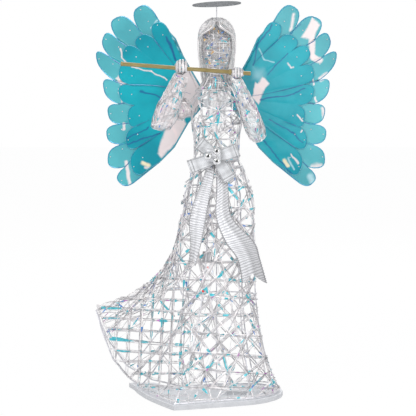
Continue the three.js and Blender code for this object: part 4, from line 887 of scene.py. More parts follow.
inner_painted_light = {
    1: [(HAZE_REFLECTION, 0.5, [(88, 760), (107, 758), (107, 738), (88, 740)], 0, 11),
        (PINK_REFLECTION, 0.95, [(106, 745), (122, 727), (108, 712), (96, 724)], 0, 2.5),
        (PINK_REFLECTION, 0.95, [(112, 722), (99, 682), (83, 694), (92, 730)], 0, 2.5),
        (NAVY_CREASE_SHADE, 0.85, [(128, 862), (94, 812), (85, 768)], 1.7, 1.2), (NAVY_CREASE_SHADE, 0.8, [(165, 795), (117, 748)], 1.6, 1.2),
        (NAVY_CREASE_SHADE, 0.85, [(102, 690), (179, 700), (207, 714)], 1.7, 1.2),
        (NAVY_CREASE_SHADE, 0.8, [(122, 643), (176, 614), (202, 588)], 1.5, 1.2),
        (NAVY_CREASE_SHADE, 0.8, [(111, 593), (150, 545), (176, 516)], 1.5, 1.2),
        (HAZE_REFLECTION, 0.7, [(99, 806), (110, 782), (134, 776)], 1.4, 1.2),
        (PINK_REFLECTION, 0.7, [(165, 773), (172, 764), (179, 765)], 1.6, 1.2), (CREAM_REFLECTION, 0.85, [(159, 547), (167, 536)], 4, 2.5),
        (HAZE_REFLECTION, 0.8, [(168, 552), (182, 528)], 2.4, 2), (PINK_REFLECTION, 0.8, [(190, 653), (202, 638)], 1.8, 1.2),
        (PINK_REFLECTION, 0.85, [(196, 613), (212, 632)], 1.8, 1.2), (PINK_REFLECTION, 0.8, [(176, 561), (192, 540)], 2.2, 1.4)],
    -1: [(PINK_REFLECTION, 0.85, [(-90, 766), (-69, 775), (-31, 715), (-48, 654), (-81, 649), (-107, 669), (-109, 705),
                       (-97, 733)], 0, 4),
         (HAZE_REFLECTION, 0.7, [(-96, 832), (-78, 799), (-64, 766)], 4, 3),
         (PINK_REFLECTION, 0.9, [(-136, 564), (-127, 598), (-110, 647), (-92, 615), (-93, 591), (-127, 553)], 0, 3.5),
         (PINK_REFLECTION, 0.9, [(-110, 647), (-76, 651), (-70, 634), (-93, 591)], 0, 3.5),
         (HAZE_REFLECTION, 0.8, [(-99, 835), (-82, 808), (-68, 781)], 2.6, 2),
         (PINK_REFLECTION, 0.8, [(-197, 763), (-150, 755), (-116, 738)], 1.6, 1.2),
         (NAVY_CREASE_SHADE, 0.9, [(-114, 835), (-93, 781)], 2.6, 1.4), (NAVY_CREASE_SHADE, 0.85, [(-212, 585), (-133, 611)], 1.6, 1.2),
         (NAVY_CREASE_SHADE, 0.8, [(-212, 596), (-157, 624)], 1.4, 1.2), (NAVY_CREASE_SHADE, 0.8, [(-176, 709), (-127, 695)], 2.2, 1.4),
         (CREAM_REFLECTION, 0.85, [(-171, 541), (-159, 536)], 4.5, 3), (PINK_REFLECTION, 0.7, [(-166, 530), (-158, 529)], 3, 2)],
}
rim_film = mottled("film_rim", (0.01, 0.16, 0.36), (0.04, 0.36, 0.50), (0.15, 0.3), 60, 0.3, 0.1, 0.0004, coat=0.5)
inner_rim = mottled("inner_film_rim", (0.01, 0.20, 0.34), (0.02, 0.34, 0.44), (0.15, 0.3), 60, 0.1, 0.1, 0.0004)
# The crease strips stand for folds in the film; their dark blue is painted shade in the folds
crease_shade_film = mottled("film_crease_shade", (0.01, 0.06, 0.22), (0.02, 0.22, 0.40), (0.15, 0.3), 60, 0.2, 0.1, 0.0004,
                      coat=0.5)
tie_metal = mottled("wing_ties", (0.62, 0.50, 0.52), (0.92, 0.86, 0.86), (0.2, 0.35), 200, 0.3, 0.1, 0.0003)
wing_wire = mottled("wing_wire", (0.04, 0.34, 0.44), (0.20, 0.52, 0.60), (0.2, 0.35), 80, 0.4, 0.1, 0.0003)


def film_piece(name, node, side, outline, along, face, material, lift):
    """A fan of film from the wing's root to its outline, with each lobe a little crowned."""
    vertices = []
    for ring in range(FILM_RINGS + 1):
        share = ring / FILM_RINGS
        for point, place in zip(outline, along):
            flat = WING_ROOT + (point - WING_ROOT) * (0.02 + 0.98 * share)
            crown = lift * math.sin(math.pi * place) * math.sin(math.pi * min(share, 0.999)) * share
            vertices.append(wing_place(side, flat[0], face - crown, flat[1]))
    faces = ring_faces(FILM_RINGS + 1, len(outline), False)[:-1]
    if side < 0:
        faces = [corners[::-1] for corners in faces]
    obj = add_object(name, vertices, faces, [material], "left_wing" if side > 0 else "right_wing")
    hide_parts(node)


def hinge_barrel(side):
    half = HINGE_LENGTH / 2
    return turned([(HINGE_BORE, -half), (HINGE_BARREL, -half), (HINGE_BARREL, half), (HINGE_BORE, half)], 24,
                  (side * HINGE_X, HINGE_Y, HINGE_Z), True)


def hinge_tab(side):
    """The block between the barrel and the wire."""
    half = HINGE_LENGTH / 2
    near, far = HINGE_BARREL - 0.4, WING_ROOT[0] + WIRE
    corners = [wing_place(side, x, y, HINGE_Z + z) for z in (-half * 0.7, half * 0.7)
               for x, y in ((near, -WIRE), (far, -WIRE), (far, WIRE), (near, WIRE))]
    return corners, [(0, 1, 2, 3), (7, 6, 5, 4), (0, 4, 5, 1), (1, 5, 6, 2), (2, 6, 7, 3), (3, 7, 4, 0)]


def crease(lines, side, valley, reach, y, normal):
    bend = rng.uniform(-0.06, 0.06)
    span = WING_ROOT - valley
    aside = np.array([-span[1], span[0]])
    points = []
    for k in range(13):
        share = reach * k / 12
        flat = valley + span * share + aside * bend * math.sin(math.pi * share)
        points.append(wing_place(side, flat[0], y, flat[1]))
    widths = [2.0 * (1 - 0.75 * k / 12) for k in range(13)]
    lines.add(points, [-normal] * 13, widths, 0.5, [0.0] * 13, [1])


def wing_rims(side, outer, inner, normal):
    """Rims along the films, creases in them whose dark blue is painted shade, and beads at the tips of their lobes."""
    lines = Strands()
    for outline, y, width, slot in ((outer, OUTER_FACE - 0.7, 1.7, 0), (inner, INNER_FACE - 0.7, 1.2, 3)):
        points = []
        for point in outline + outline[:1]:
            inset = point + (WING_ROOT - point) / np.linalg.norm(WING_ROOT - point)
            points.append(wing_place(side, inset[0], y, inset[1]))
        lines.add(points, [-normal] * len(points), width, 0.5, [0.0] * len(points), [slot])
    for index, reach in OUTER_CREASES:
        crease(lines, side, outer_valleys[index], reach, OUTER_FACE - 0.9, normal)
    for index, reach in INNER_CREASES:
        crease(lines, side, inner_valleys[index], reach, INNER_FACE - 3.4, normal)
    for tips, y in ((outer_tips, OUTER_FACE - 1.0), (inner_tips, INNER_FACE - 1.0)):
        for tip in tips:
            for share in (0.03, 0.16):
                flat = tip + (WING_ROOT - tip) * share
                lines.put(ball(wing_place(side, flat[0] + rng.uniform(-1, 1), y, flat[1]), 1.3, 6, 4), 2)
    return lines


def wing(side):
    word = "left" if side > 0 else "right"
    body = word + "_wing"
    outer, outer_along = wing_outline(outer_tips, outer_valleys)
    inner, inner_along = wing_outline(inner_tips, inner_valleys)
    outer_film = film_material(word + "_outer_film", OUTER_LOW, OUTER_HIGH, outer_painted_light[side], 0.94)
    inner_film = film_material(word + "_inner_film", INNER_LOW, INNER_HIGH, inner_painted_light[side], 0.97)
    film_piece(word + "_outer_film_sheet", body + "_outer_film", side, outer, outer_along, OUTER_FACE - 0.3,
               outer_film, 0.7)
    film_piece(word + "_inner_film_sheet", body + "_inner_film", side, inner, inner_along, INNER_FACE - 0.3,
               inner_film, 0.8)
    normal = wing_place(side, 0, 1, 0) - wing_place(side, 0, 0, 0)
    for layer, outline, y in (("outer", outer, 0), ("inner", inner, INNER_WIRE_Y)):
        wires = Solid()
        points = [wing_place(side, p[0], y, p[1]) for p in outline]
        wires.put(tube_ring(points, WIRE, 8, True, [normal] * len(points)))
        if layer == "outer":
            for index in SPOKES:
                flats = [WING_ROOT + (outer_valleys[index] - WING_ROOT) * k / 8 for k in range(9)]
                spoke = [wing_place(side, flat[0], 0, flat[1]) for flat in flats]
                wires.put(tube_ring(spoke, WIRE, 8, False, [normal] * 9))
            wires.put(hinge_barrel(side), 1)
            wires.put(hinge_tab(side), 1)
        obj = wires.build(f"{word}_{layer}_wire", [wing_wire, hinge_paint], body)
        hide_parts(f"{body}_{layer}_frame")
    obj = wing_rims(side, outer, inner, normal).build(word + "_wing_rims",
                                                      [rim_film, crease_shade_film, tie_metal, inner_rim], body)


steel = mottled("plated_steel", (0.66, 0.67, 0.69), (0.84, 0.85, 0.87), (0.3, 0.45), 120, 0.45, 0.1, 0.0003)
hinge_paint = mottled("hinge_paint", (0.82, 0.83, 0.85), (0.93, 0.93, 0.94), (0.3, 0.45), 120, 0.0, 0.1, 0.0003)
wing(1)
wing(-1)


ROW_EASE = 1.3


def surface_sheet(surface, across, down, thickness):
    """A thin closed sheet over a surface, from its two sides and its edges."""
    grid_u, grid_v = np.meshgrid(np.linspace(0, 1, across + 1), np.linspace(0, 1, down + 1) ** ROW_EASE)
    u, v = grid_u.ravel(), grid_v.ravel()
    points = surface(u, v)
    outs = outward(surface, np.clip(u, 0.011, 0.989), np.clip(v, 0.02, 0.99))
    vertices = list(points + outs * thickness / 2) + list(points - outs * thickness / 2)
    return vertices, sheet_faces(across, down)


# Sleeves: threads over wide bells that narrow towards their start
BELL_GAP = 0.42 * np.pi


def sleeve_surface(start, end, radius, entry):
    """The bell from start to end. A forearm's is open along its side towards entry, the end of the upper sleeve."""
    start, end = np.array(start, float), np.array(end, float)
    forearm = entry is not None
    axis = unit(end - start)
    forward = unit(np.cross(axis, np.array(entry, float) - end if forearm else np.array([0.0, 1.0, 0.0])))
    sideways = np.cross(forward, axis)
    opening = BELL_GAP if forearm else 0.0
    gather = radius * (0.42 if forearm else 0.7)

    def surface(place, fall):
        place, fall = both(place, fall)
        reach = gather + (radius - gather) * np.maximum(fall, 0) ** 0.6
        reach = reach * (1 - 0.25 * np.clip((fall - 0.7) / 0.3, 0, 1) ** 2)
        angle = opening / 2 + (2 * np.pi - opening) * place
        along = fall * (1 - 0.08 * np.cos(angle) * fall)
        return (start + np.outer(along, end - start) + sideways * (reach * np.cos(angle))[:, None]
                - forward * (reach * np.sin(angle))[:, None])

    return surface


def veil(name, color, alpha):
    return mottled(name, tuple(c * 0.86 for c in color), color, (0.4, 0.7), 160, 0.0, 0.4, 0.0008, alpha=alpha)


sleeve_veil = {"right": veil("right_sleeve_net", (1.0, 0.92, 0.92), 0.6),
               "left": veil("left_sleeve_net", (0.98, 0.99, 0.99), 0.5)}
# Each arm: its wrist, the forearm sleeve's cuff and radius, then the upper sleeve's start, end and radius
ARMS = {
    "right": ((-78.5, -45, 751), (-124, -34, 635.98), 28, (-66, -4, 680), (-95.13, -21.03, 668), 25),
    "left": ((43, -45, 741.5), (93, -34, 612.98), 23, (62, -5, 676), (75.11, -17.72, 660), 19),
}


def sleeve_threads(word):
    wrist, cuff, cuff_radius, puff_start, puff_end, puff_radius = ARMS[word]
    for part, start, end, radius, entry, rows, columns, extra in (
            ("forearm", wrist, cuff, cuff_radius, puff_end, 15, 13, 46),
            ("upper", puff_start, puff_end, puff_radius, None, 4, 14, 20)):
        strands = Strands()
        surface = sleeve_surface(start, end, radius, entry)
        for row in range(rows + 1):
            fall = 0.02 + 0.98 * (row / rows) ** 1.2
            for repeat in range(2):
                places = np.linspace(0, 1, 22)
                falls = np.clip(fall + 0.02 * repeat + 0.035 * np.sin(places * 15 + row), 0.01, 1.0)
                lay_thread(strands, surface, places, falls, 2.3, rng.uniform(-0.6, 1.4), 0.07, 0.05, 1.6, 6)
        for column in range(columns + 1):
            falls = np.linspace(0.01, 1, 12)
            places = column / columns + 0.015 * np.sin(falls * 9 + column)
            lay_thread(strands, surface, places, falls, 2.3, rng.uniform(0, 2), 0.07, 0.05, 2.2, 6)
        for _ in range(extra):
            top = rng.uniform(0.02, 0.7)
            falls = np.clip(np.linspace(top, top + rng.uniform(0.2, 0.5), 8), 0.01, 1.0)
            places = rng.random() + rng.choice((-1, 1)) * rng.uniform(0.3, 0.8) * (falls - falls[0])
            lay_thread(strands, surface, np.clip(places, 0, 1), falls, 2.0, rng.uniform(-0.5, 2.4), 0.12, 0.1, 1.6, 6)
        obj = strands.build(f"{word}_{part}_threads", FILMS)
        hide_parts(f"{word}_{part}_sleeve")
        lining = Solid()
        lining.put(surface_sheet(sleeve_surface(start, end, radius - 1.2, entry), 24, 10, 0.5))
        obj = lining.build(f"{word}_{part}_lining", [sleeve_veil[word]])


sleeve_threads("right")
sleeve_threads("left")


# Hands: threads wound round the palm and fingers
FLUTE_SLOPE = 0.075
FLUTE_TURN = math.atan(FLUTE_SLOPE)
FLUTE_PLACE = np.array([0.0, -52.0, 759.98])
WRAP_STEPS, FINGER_STEPS = 19, 15


def flute_place(x, y, z):
    return FLUTE_PLACE + np.array([x * math.cos(FLUTE_TURN) + z * math.sin(FLUTE_TURN), y,
                                   z * math.cos(FLUTE_TURN) - x * math.sin(FLUTE_TURN)])


def hand_wrap(word, x, half, centre):
    """Threads wound over an egg form that stands for the netted hand round the flute."""
    strands = Strands()
    half = np.array(half, float)
    middle = flute_place(x, *centre)
    knuckles = [rng.uniform(0.9, 1.1) for _ in range(8)]
    for index in range(30):
        tilts = [rng.uniform(-0.5, 0.5), rng.uniform(-0.4, 0.4)]
        axis = unit(np.array(tilts + [1.0] if index % 3 else [1.0] + tilts))
        first = unit(np.cross(axis, [0.1, 1.0, 0.2]))
        second = np.cross(axis, first)
        level = rng.uniform(-0.85, 0.85)
        reach = math.sqrt(1 - level * level)
        angles = np.linspace(0, 2 * math.pi, WRAP_STEPS)
        ways = axis * level + reach * (np.outer(np.cos(angles), first) + np.outer(np.sin(angles), second))
        bulge = [knuckles[int((way[0] * 2.4 + way[2] * 1.7 + 4) % 8)] * rng.uniform(0.93, 1.06) for way in ways]
        points = np.array([middle + way * half * swell for way, swell in zip(ways, bulge)])
        slots = [DIM if slot in (BRIGHT, PEARL) and rng.random() < 0.5 else slot
                 for slot in film_slots(WRAP_STEPS, 0.07, 0.04)]
        strands.add(points, ways, [rng.uniform(1.6, 2.6) for _ in ways], 0.35, [rng.uniform(-0.2, 0.2) for _ in ways],
                    slots)
    for finger in range(4):
        for thread in (-1, 0, 1):
            across = (finger - 1.5) * 0.42 + thread * 0.1
            girth = math.sqrt(1 - across * across) * (1.14 if thread == 0 else 1.08)
            angles = np.linspace(-0.7, 2.3, FINGER_STEPS)
            ways = np.stack([np.full(FINGER_STEPS, across), -girth * np.sin(angles), girth * np.cos(angles)], axis=1)
            strands.add(middle + ways * half, ways, 2.0, 0.4, [0.0] * FINGER_STEPS, [BRIGHT if thread == 0 else DIM])
    obj = strands.build(f"{word}_hand_wrap", FILMS)


hand_wrap("right", -79.1, (16, 12, 15.5), (3, 3))
hand_wrap("left", 45.9, (15, 12, 12.5), (3, -1))

# Head and neck: a veiled form with threads over it
HEAD_WIDE = 34
HEAD_PROFILE = [(23.9, 717.4), (24, 722.5), (31, 723.5), (25, 736.4), (25, 752.8), (0.66 * HEAD_WIDE, 757.7),
                (0.84 * HEAD_WIDE, 773.6), (0.97 * HEAD_WIDE, 796.4), (HEAD_WIDE, 821.5), (0.9 * HEAD_WIDE, 845.4),
                (0.62 * HEAD_WIDE, 862.5), (3, 869.2)]
HEAD_LOW, HEAD_TOP = 723.5, 869.4
HEAD_RADII = [31, 25.5, 25.5, 24, 28.6, 33, HEAD_WIDE, 30.6, 21, 3]
HEAD_HEIGHTS = [HEAD_LOW, 736, 752, 760, 773.6, 796.4, 821.5, 845.4, 862.5, HEAD_TOP]


def head(place, fall):
    place, fall = both(place, fall)
    z = HEAD_TOP - (HEAD_TOP - HEAD_LOW) * np.clip(fall, 0, 1)
    radius = np.interp(z, HEAD_HEIGHTS, HEAD_RADII)
    angle = 2 * np.pi * place
    return np.stack([radius * np.cos(angle), radius * np.sin(angle), z], axis=1)


def head_threads():
    """A veiled head with threads over it; short ones of many colours glint at the face."""
    core = Solid()
    core.put(turned([(r - 0.8, z) for r, z in HEAD_PROFILE], 28))
    net = veil("head_veil_net", (0.57, 0.57, 0.58), 0.5)
    # Painted shade: the veil darkens towards its crown, which lies under the hood
    shade(net, True, [(0.80, 1), (0.86, 0.4)])
    shell = core.build("head_veil", [net])
    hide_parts("head_form")
    strands = Strands()
    for row in range(22):
        for repeat in range(2):
            places = np.linspace(0, 1, 24)
            falls = np.clip((row + 0.4 * repeat) / 22 + 0.012 * np.sin(places * 12 + row), 0.01, 0.995)
            lay_thread(strands, head, places, falls, 1.5, 0.3, 0.05, 0.05, 0.8, 5, broad=2.4)
    for column in range(24):
        falls = np.linspace(0.02, 0.995, 14)
        lay_thread(strands, head, column / 24 + 0.01 * np.sin(falls * 9 + column), falls, 1.5, 0.5, 0.05, 0.06, 0.8, 5)
    for _ in range(70):
        top = rng.uniform(0.05, 0.85)
        falls = np.clip(np.linspace(top, top + rng.uniform(0.08, 0.25), 7), 0.01, 0.995)
        places = rng.random() + rng.choice((-1, 1)) * rng.uniform(0.4, 1.6) * (falls - falls[0])
        lay_thread(strands, head, places, falls, 1.3, rng.uniform(0, 1), 0.05, 0.06, 0.8, 5)
    for start, stop in (((0.69, 0.318), (0.93, 0.325)), ((0.777, 0.3), (0.777, 0.48))):
        lay_thread(strands, head, np.linspace(start[0], stop[0], 8), np.linspace(start[1], stop[1], 8), 1.8, 1.5, 0, 0,
                   0.6, 5, 0.5, 0.3)
    for _ in range(64):
        place, fall, turn = rng.uniform(0.6, 0.9), rng.uniform(0.1, 0.75) ** 1.2, rng.uniform(0, math.pi)
        first = len(strands.slots)
        lay_thread(strands, head, place + np.linspace(-0.018, 0.018, 4) * math.cos(turn),
                   fall + np.linspace(-0.022, 0.022, 4) * math.sin(turn), 2.6, 2.0, 0, 0, 0.1, 5, 0.5, 0.2)
        strands.recolor(first, rng.choice((TEAL, BLUE, BRIGHT, DIM, BRIGHT, AMBER)))
    flecks = [index for index, slot in enumerate(strands.slots) if slot == DIM]
    for index in flecks[::7]:
        strands.slots[index] = AMBER
    amber = bright_film("amber_film", (0.62, 0.30, 0.06), (0.80, 0.52, 0.14), (0.15, 0.3))
    obj = strands.build("head_threads", FILMS + [amber])


def neck(place, fall):
    place, fall = both(place, fall)
    fall = np.clip(fall, 0, 1)
    angle = 2 * np.pi * place
    return np.stack([(25 + 25 * fall ** 1.7) * np.cos(angle), (25 + 9 * fall) * np.sin(angle), 752 - 40 * fall], axis=1)


def neck_threads():
    """Netting that runs from the neck down over the shoulders."""
    strands = Strands()
    for row in range(9):
        places = np.linspace(0, 1, 30)
        falls = np.clip(0.1 + row / 9 + 0.03 * np.sin(places * 22 + row), 0.01, 0.99)
        lay_thread(strands, neck, places, falls, 1.8, 0.4, 0.1, 0.05, 0.8, 6)
    for column in range(64):
        top = rng.uniform(0, 0.3)
        falls = np.linspace(top, rng.uniform(0.8, 0.995), 10)
        places = column / 64 + rng.uniform(-0.12, 0.12) * (falls - top)
        lay_thread(strands, neck, places, falls, 1.8, rng.uniform(0, 1), 0.12, 0.05, 0.8, 6, broad=1.9)
    obj = strands.build("neck_netting", FILMS)


head_threads()
neck_threads()

# Hood: fine hair netting that falls from the crown, open in a pointed arch at the face
HOOD_TOP, HOOD_HEIGHT, HOOD_X, HOOD_Y = 878.98, 145, 42, 47
HOOD_CROWN, HOOD_LEAST = 0.38, 1.55


def hood(place, fall):
    place, fall = both(place, fall)
    fall = np.clip(fall, 0, 1)
    climb = np.minimum(fall / HOOD_CROWN, 1)
    drop = np.maximum((fall - HOOD_CROWN) / (1 - HOOD_CROWN), 0)
    share = np.sqrt(np.maximum(1 - (1 - climb) ** 2.5, 0)) * (1 - 0.24 * drop ** 1.6)
    t = np.clip((fall - 0.1) / 0.28, 0, 1)
    edge = 2 + 72 * t * t * (3 - 2 * t)
    angle = np.radians(edge - 90 + (360 - 2 * edge) * place)
    return np.stack([np.maximum(HOOD_X * share, HOOD_LEAST) * np.cos(angle),
                     np.maximum(HOOD_Y * share, HOOD_LEAST) * np.sin(angle), HOOD_TOP - HOOD_HEIGHT * fall], axis=1)


def hood_netting():
    made = Solid()
    made.put(surface_sheet(hood, 40, 24, 0.8))
    sheet = made.build("hood_net", [veil("hair_net", (0.95, 0.95, 0.94), 0.2)])
    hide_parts("hair_hood")
    strands = Strands()
    for row in range(34):
        fall = 0.015 + 0.98 * row / 33
        places = np.linspace(0.002, 0.998, 40)
        lay_thread(strands, hood, places, np.clip(fall + 0.006 * np.sin(places * 40 + row), 0.004, 0.998), 0.95, 0.7,
                   0.03, 0.03, 0.7, 5)
    for column in range(64):
        place = 0.004 + 0.992 * column / 63
        falls = np.linspace(0.01, 0.998, 26)
        lay_thread(strands, hood, np.clip(place + 0.004 * np.sin(falls * 16 + column), 0.002, 0.998), falls, 1.0, 0.9,
                   0.02, 0.02, 0.6, 5)
    for side in (0.002, 0.998):
        for repeat in range(4):
            falls = np.linspace(0.06, 0.998 if repeat > 1 else 0.42, 30)
            inner = side + (0.008 * repeat if side < 0.5 else -0.008 * repeat)
            first = len(strands.slots)
            lay_thread(strands, hood, np.full(30, inner), falls, 2.0, 1.4, 0, 0, 0.3, 5, 0.6, 0.1)
            strands.recolor(first, BRIGHT if repeat != 1 else DIM)
    for index in range(26):
        side = rng.uniform(0.0, 0.11)
        falls = np.linspace(0.36, 0.998, 20)
        first = len(strands.slots)
        lay_thread(strands, hood, np.full(20, side if index % 2 else 1 - side), falls, 1.5, 1.2, 0, 0, 0.4, 6, 0.4,
                   0.15)
        strands.recolor(first, BRIGHT if index % 3 else PEARL)
    obj = strands.build("hood_threads", FILMS)


hood_netting()

# Bow: satin loops, a pleated tie and crinkled organza tails
BOW_Z = 567
LOOP_START, LOOP_SHARE = 0.09, 0.82


def ribbon_material(name, dark, light, ribs, alpha, rough, stops, seam, painted_shade_along, painted_shade_across):
    """Ribbon with ribs across it and a stitched line by each edge; the light and dark of its ribs is painted sheen and
    shade, and its shade along and across it is painted light and shade of its folds.
    """
    material, tree, shader = new_material(name)
    place = add_node(tree, "TexCoord", {}).outputs["UV"]
    wave = add_node(tree, "TexWave", {"Scale": ribs * 0.314, "Distortion": 2.6, "Detail": 2.0, "Vector": place},
                    bands_direction="Y").outputs["Fac"]
    across, along, _ = add_node(tree, "SeparateXYZ", {"Vector": place}).outputs
    base = ramp(tree, wave, [(stops[0], dark), (stops[1], light)])
    base = multiplied(tree, base, ramp(tree, along, greys(painted_shade_along)))
    base = multiplied(tree, base, ramp(tree, across, greys(painted_shade_across)))
    away = operate(tree, "ABSOLUTE", operate(tree, "SUBTRACT", across, 0.5))
    stitch = operate(tree, "MULTIPLY", soft_step(tree, away, seam, seam + 0.02),
                     soft_step(tree, away, seam + 0.06, seam + 0.04))
    set_inputs(tree, shader, {"Base Color": tinted(tree, base, stitch, tuple(c * 0.4 for c in dark), 0.85),
                              "Roughness": rough, "Alpha": alpha, "Sheen Weight": 0.3, "Metallic": 0.15})
    bump(tree, shader, wave, 0.6, 0.0008)
    return material


# Satin: its stripes are painted sheen, and its shades along and across the loops painted light and shade of their folds
satin = ribbon_material("silver_satin", (0.56, 0.57, 0.59), (0.95, 0.96, 0.98), 90, 1.0, 0.3, (0.2, 0.6), 0.40,
                        [(0, 0.5), (0.05, 0.66), (0.13, 0.82), (0.17, 1), (0.22, 0.98), (0.27, 0.7), (0.33, 0.92),
                         (0.35, 0.4), (0.37, 1), (0.4, 0.9), (0.415, 0.38), (0.43, 0.9), (0.5, 0.6), (1, 0.55)],
                        [(0, 0.95), (0.3, 0.84), (0.55, 1), (1, 0.86)])
# Each tail: its number of ribs and the darkest colour of its painted rib shade, then its painted light and shade along
# and across
TAILS = {
    "right": (44, (0.56, 0.56, 0.58), [(0, 0.8), (0.1, 0.95), (0.6, 1), (1, 0.88)],
              [(0, 0.8), (0.12, 0.7), (0.3, 0.92), (0.42, 0.82), (0.65, 1), (0.85, 0.95), (1, 0.75)]),
    "left": (50, (0.52, 0.52, 0.54), [(0, 0.9), (0.5, 1), (0.72, 0.94), (1, 0.8)],
             [(0, 0.86), (0.12, 1), (0.3, 0.9), (0.46, 1), (0.62, 0.66), (0.8, 0.76), (1, 0.66)]),
}


def ribbon_piece(name, surface, across, down, thickness, material, node, notch=0.0,
                 slant=0.0):
    vertices, faces = surface_sheet(surface, across, down, thickness)
    obj = add_object(name, vertices, faces, [material])
    layer = obj.data.uv_layers.new(name="UVMap")
    count = (across + 1) * (down + 1)
    for loop in obj.data.loops:
        index = loop.vertex_index % count
        place, fall = (index % (across + 1)) / across, ((index // (across + 1)) / down) ** ROW_EASE
        layer.data[loop.index].uv = (place, fall * (1 - notch * (1 - abs(2 * place - 1))) + slant * (place - 0.5))
    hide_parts(node)


def loop_surface(turn_deg, length, layer, lean):
    turn = math.radians(turn_deg)
    away = np.array([math.cos(turn), -lean, math.sin(turn)])
    widthways = np.array([-math.sin(turn), 0.0, math.cos(turn)])

    def surface(place, fall):
        place, fall = both(place, fall)
        around = (LOOP_START + LOOP_SHARE * fall) * 2 * np.pi
        reach = length * (1 - np.cos(around)) / 2
        depth = layer + 3.6 * np.sin(around) + 0.35 * np.sin(place * 21) * np.sin(around / 2)
        pinch = 1 - 0.28 * np.exp(-reach / 9)
        return (np.array([0.0, 0.0, BOW_Z]) + np.outer(reach, away) - np.outer(depth, [0, 1, 0])
                + np.outer((0.5 - place) * (27 + 5 * reach / length) * pinch, widthways))

    return surface


for word, turn, length, layer, lean in (("upper_right", 141, 54, 46.3, 0), ("lower_left", -60, 60, 46.3, 0.08),
                                        ("lower_right", 200, 66, 55.02, 0), ("upper_left", 20, 51, 55.02, 0)):
    ribbon_piece(f"bow_{word}_ribbon", loop_surface(turn, length, layer, lean), 10, 64, 0.7, satin,
                 f"bow_loop_{word}")

# Places down each tail: x, distance in front, height and half width
TAIL_STATIONS = {
    "right": [(-12, 41.5, 556, 8), (-21, 48.6, 510, 13), (-34, 62.9, 470, 17), (-44, 68, 420, 18),
              (-47, 69, 375, 12.6), (-56, 69, 322, 7.8)],
    "left": [(9, 41.5, 556, 8), (13, 47.6, 495, 13), (16.2, 59.8, 432, 18), (51, 70, 378, 33),
             (72, 70, 338, 26), (85, 69, 283, 28.5)],
}
NOTCH = 0.09


def tail_surface(stations, ribs, notch):
    table = plain_table(stations)

    def surface(place, fall):
        place, fall = both(place, fall)
        along = fall * (1 - notch * (1 - np.abs(2 * place - 1)))
        x, front, z, half = read_table(table, along)
        wave = 0.6 * np.sin(2 * np.pi * ribs * along + 1.5 * np.sin(place * 5))
        wave = wave + 0.5 * np.sin(2 * np.pi * (ribs * 0.37) * along + place * 7)
        slow = 1.6 * np.sin(place * 2 * np.pi + along * 9)
        edge = 1 + 0.03 * np.sin(2 * np.pi * ribs * along)
        return np.stack([x + (2 * place - 1) * half * edge, -front - wave - slow, z], axis=1)

    return surface


for word, (ribs, dark, painted_shade_along, painted_shade_across) in TAILS.items():
    organza = ribbon_material(word + "_organza", dark, (0.86, 0.86, 0.88), ribs, 0.96, 0.36, (0.15, 0.7), 0.44,
                              painted_shade_along, painted_shade_across)
    ribbon_piece(f"bow_{word}_tail", tail_surface(TAIL_STATIONS[word], ribs, NOTCH), 14, ribs * 6, 0.6, organza,
                 f"bow_tail_{word}", NOTCH,
                 0.06 if word == "left" else -0.03)

TIE_X, TIE_Z, TIE_BACK = -6.5, 571.3, 59.32
TIE_HALF_WIDTH, TIE_HALF_HEIGHT, TIE_DEPTH = 16.4, 14.4, 3.3


def tie_piece():
    """The knot: a flat satin wrap with soft pleats from side to side."""
    columns, rows = 24, 22
    vertices = []
    for row in range(rows + 1):
        for column in range(columns + 1):
            u, v = 2 * column / columns - 1, 2 * row / rows - 1
            swell = (1 - abs(u) ** 5) * (1 - abs(v) ** 5)
            pleat = 0.35 * swell * math.sin(9 * v + 1.3 * u)
            vertices.append((TIE_X + TIE_HALF_WIDTH * u * (1 - 0.07 * (1 - v * v)),
                             -TIE_BACK - 0.3 - TIE_DEPTH * swell ** 0.5 - pleat,
                             TIE_Z + TIE_HALF_HEIGHT * v * (1 - 0.05 * (1 - u * u))))
    vertices += [(x, -TIE_BACK, z) for x, _, z in vertices]
    made = Solid()
    made.put((vertices, sheet_faces(columns, rows)))
    obj = made.build("bow_knot", [mottled("knot_satin", (0.46, 0.47, 0.49), (0.92, 0.92, 0.94), (0.25, 0.4), 70, 0.25,
                                          0.3, 0.0005, (1, 1, 3), sheen=0.3)])
    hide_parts("bow_tie")


tie_piece()

# Balls of the bow
chrome, chrome_tree, chrome_shader = new_material("chrome")
# Painted reflection: the balls' colour is near black where they face the viewer and bright towards their rims
facing = add_node(chrome_tree, "LayerWeight", {"Blend": 0.5}).outputs["Facing"]
chrome_point = coordinates(chrome_tree)
chrome_painted_reflection = ramp(chrome_tree, facing, greys([(0.0, 0.02), (0.03, 0.05), (0.08, 0.6), (0.3, 0.9), (1, 0.95)]))
chrome_spots = ramp(chrome_tree, noise(chrome_tree, chrome_point, 140), greys([(0.3, 0.9), (0.7, 1)]))
set_inputs(chrome_tree, chrome_shader, {"Base Color": multiplied(chrome_tree, chrome_painted_reflection, chrome_spots), "Metallic": 1,
                                        "Roughness": 0.06})
bump(chrome_tree, chrome_shader, noise(chrome_tree, chrome_point, 300), 0.03, 0.0002)
BALL_RADIUS = 9.4
for name in sorted(name for name in nodes if "ball" in name):
    low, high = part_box(name)
    centre = [(low[k] + high[k]) / 2 / MM for k in range(3)]
    sphere = Solid()
    sphere.put(ball(centre, BALL_RADIUS, 28, 18))
    sphere.put(turned([(2.4, 0), (2.6, 0.8), (1.5, 1.7)], 14, (centre[0], centre[1], centre[2] + 8.6)))
    obj = sphere.build(name + "_polished", [chrome])
    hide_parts(name)

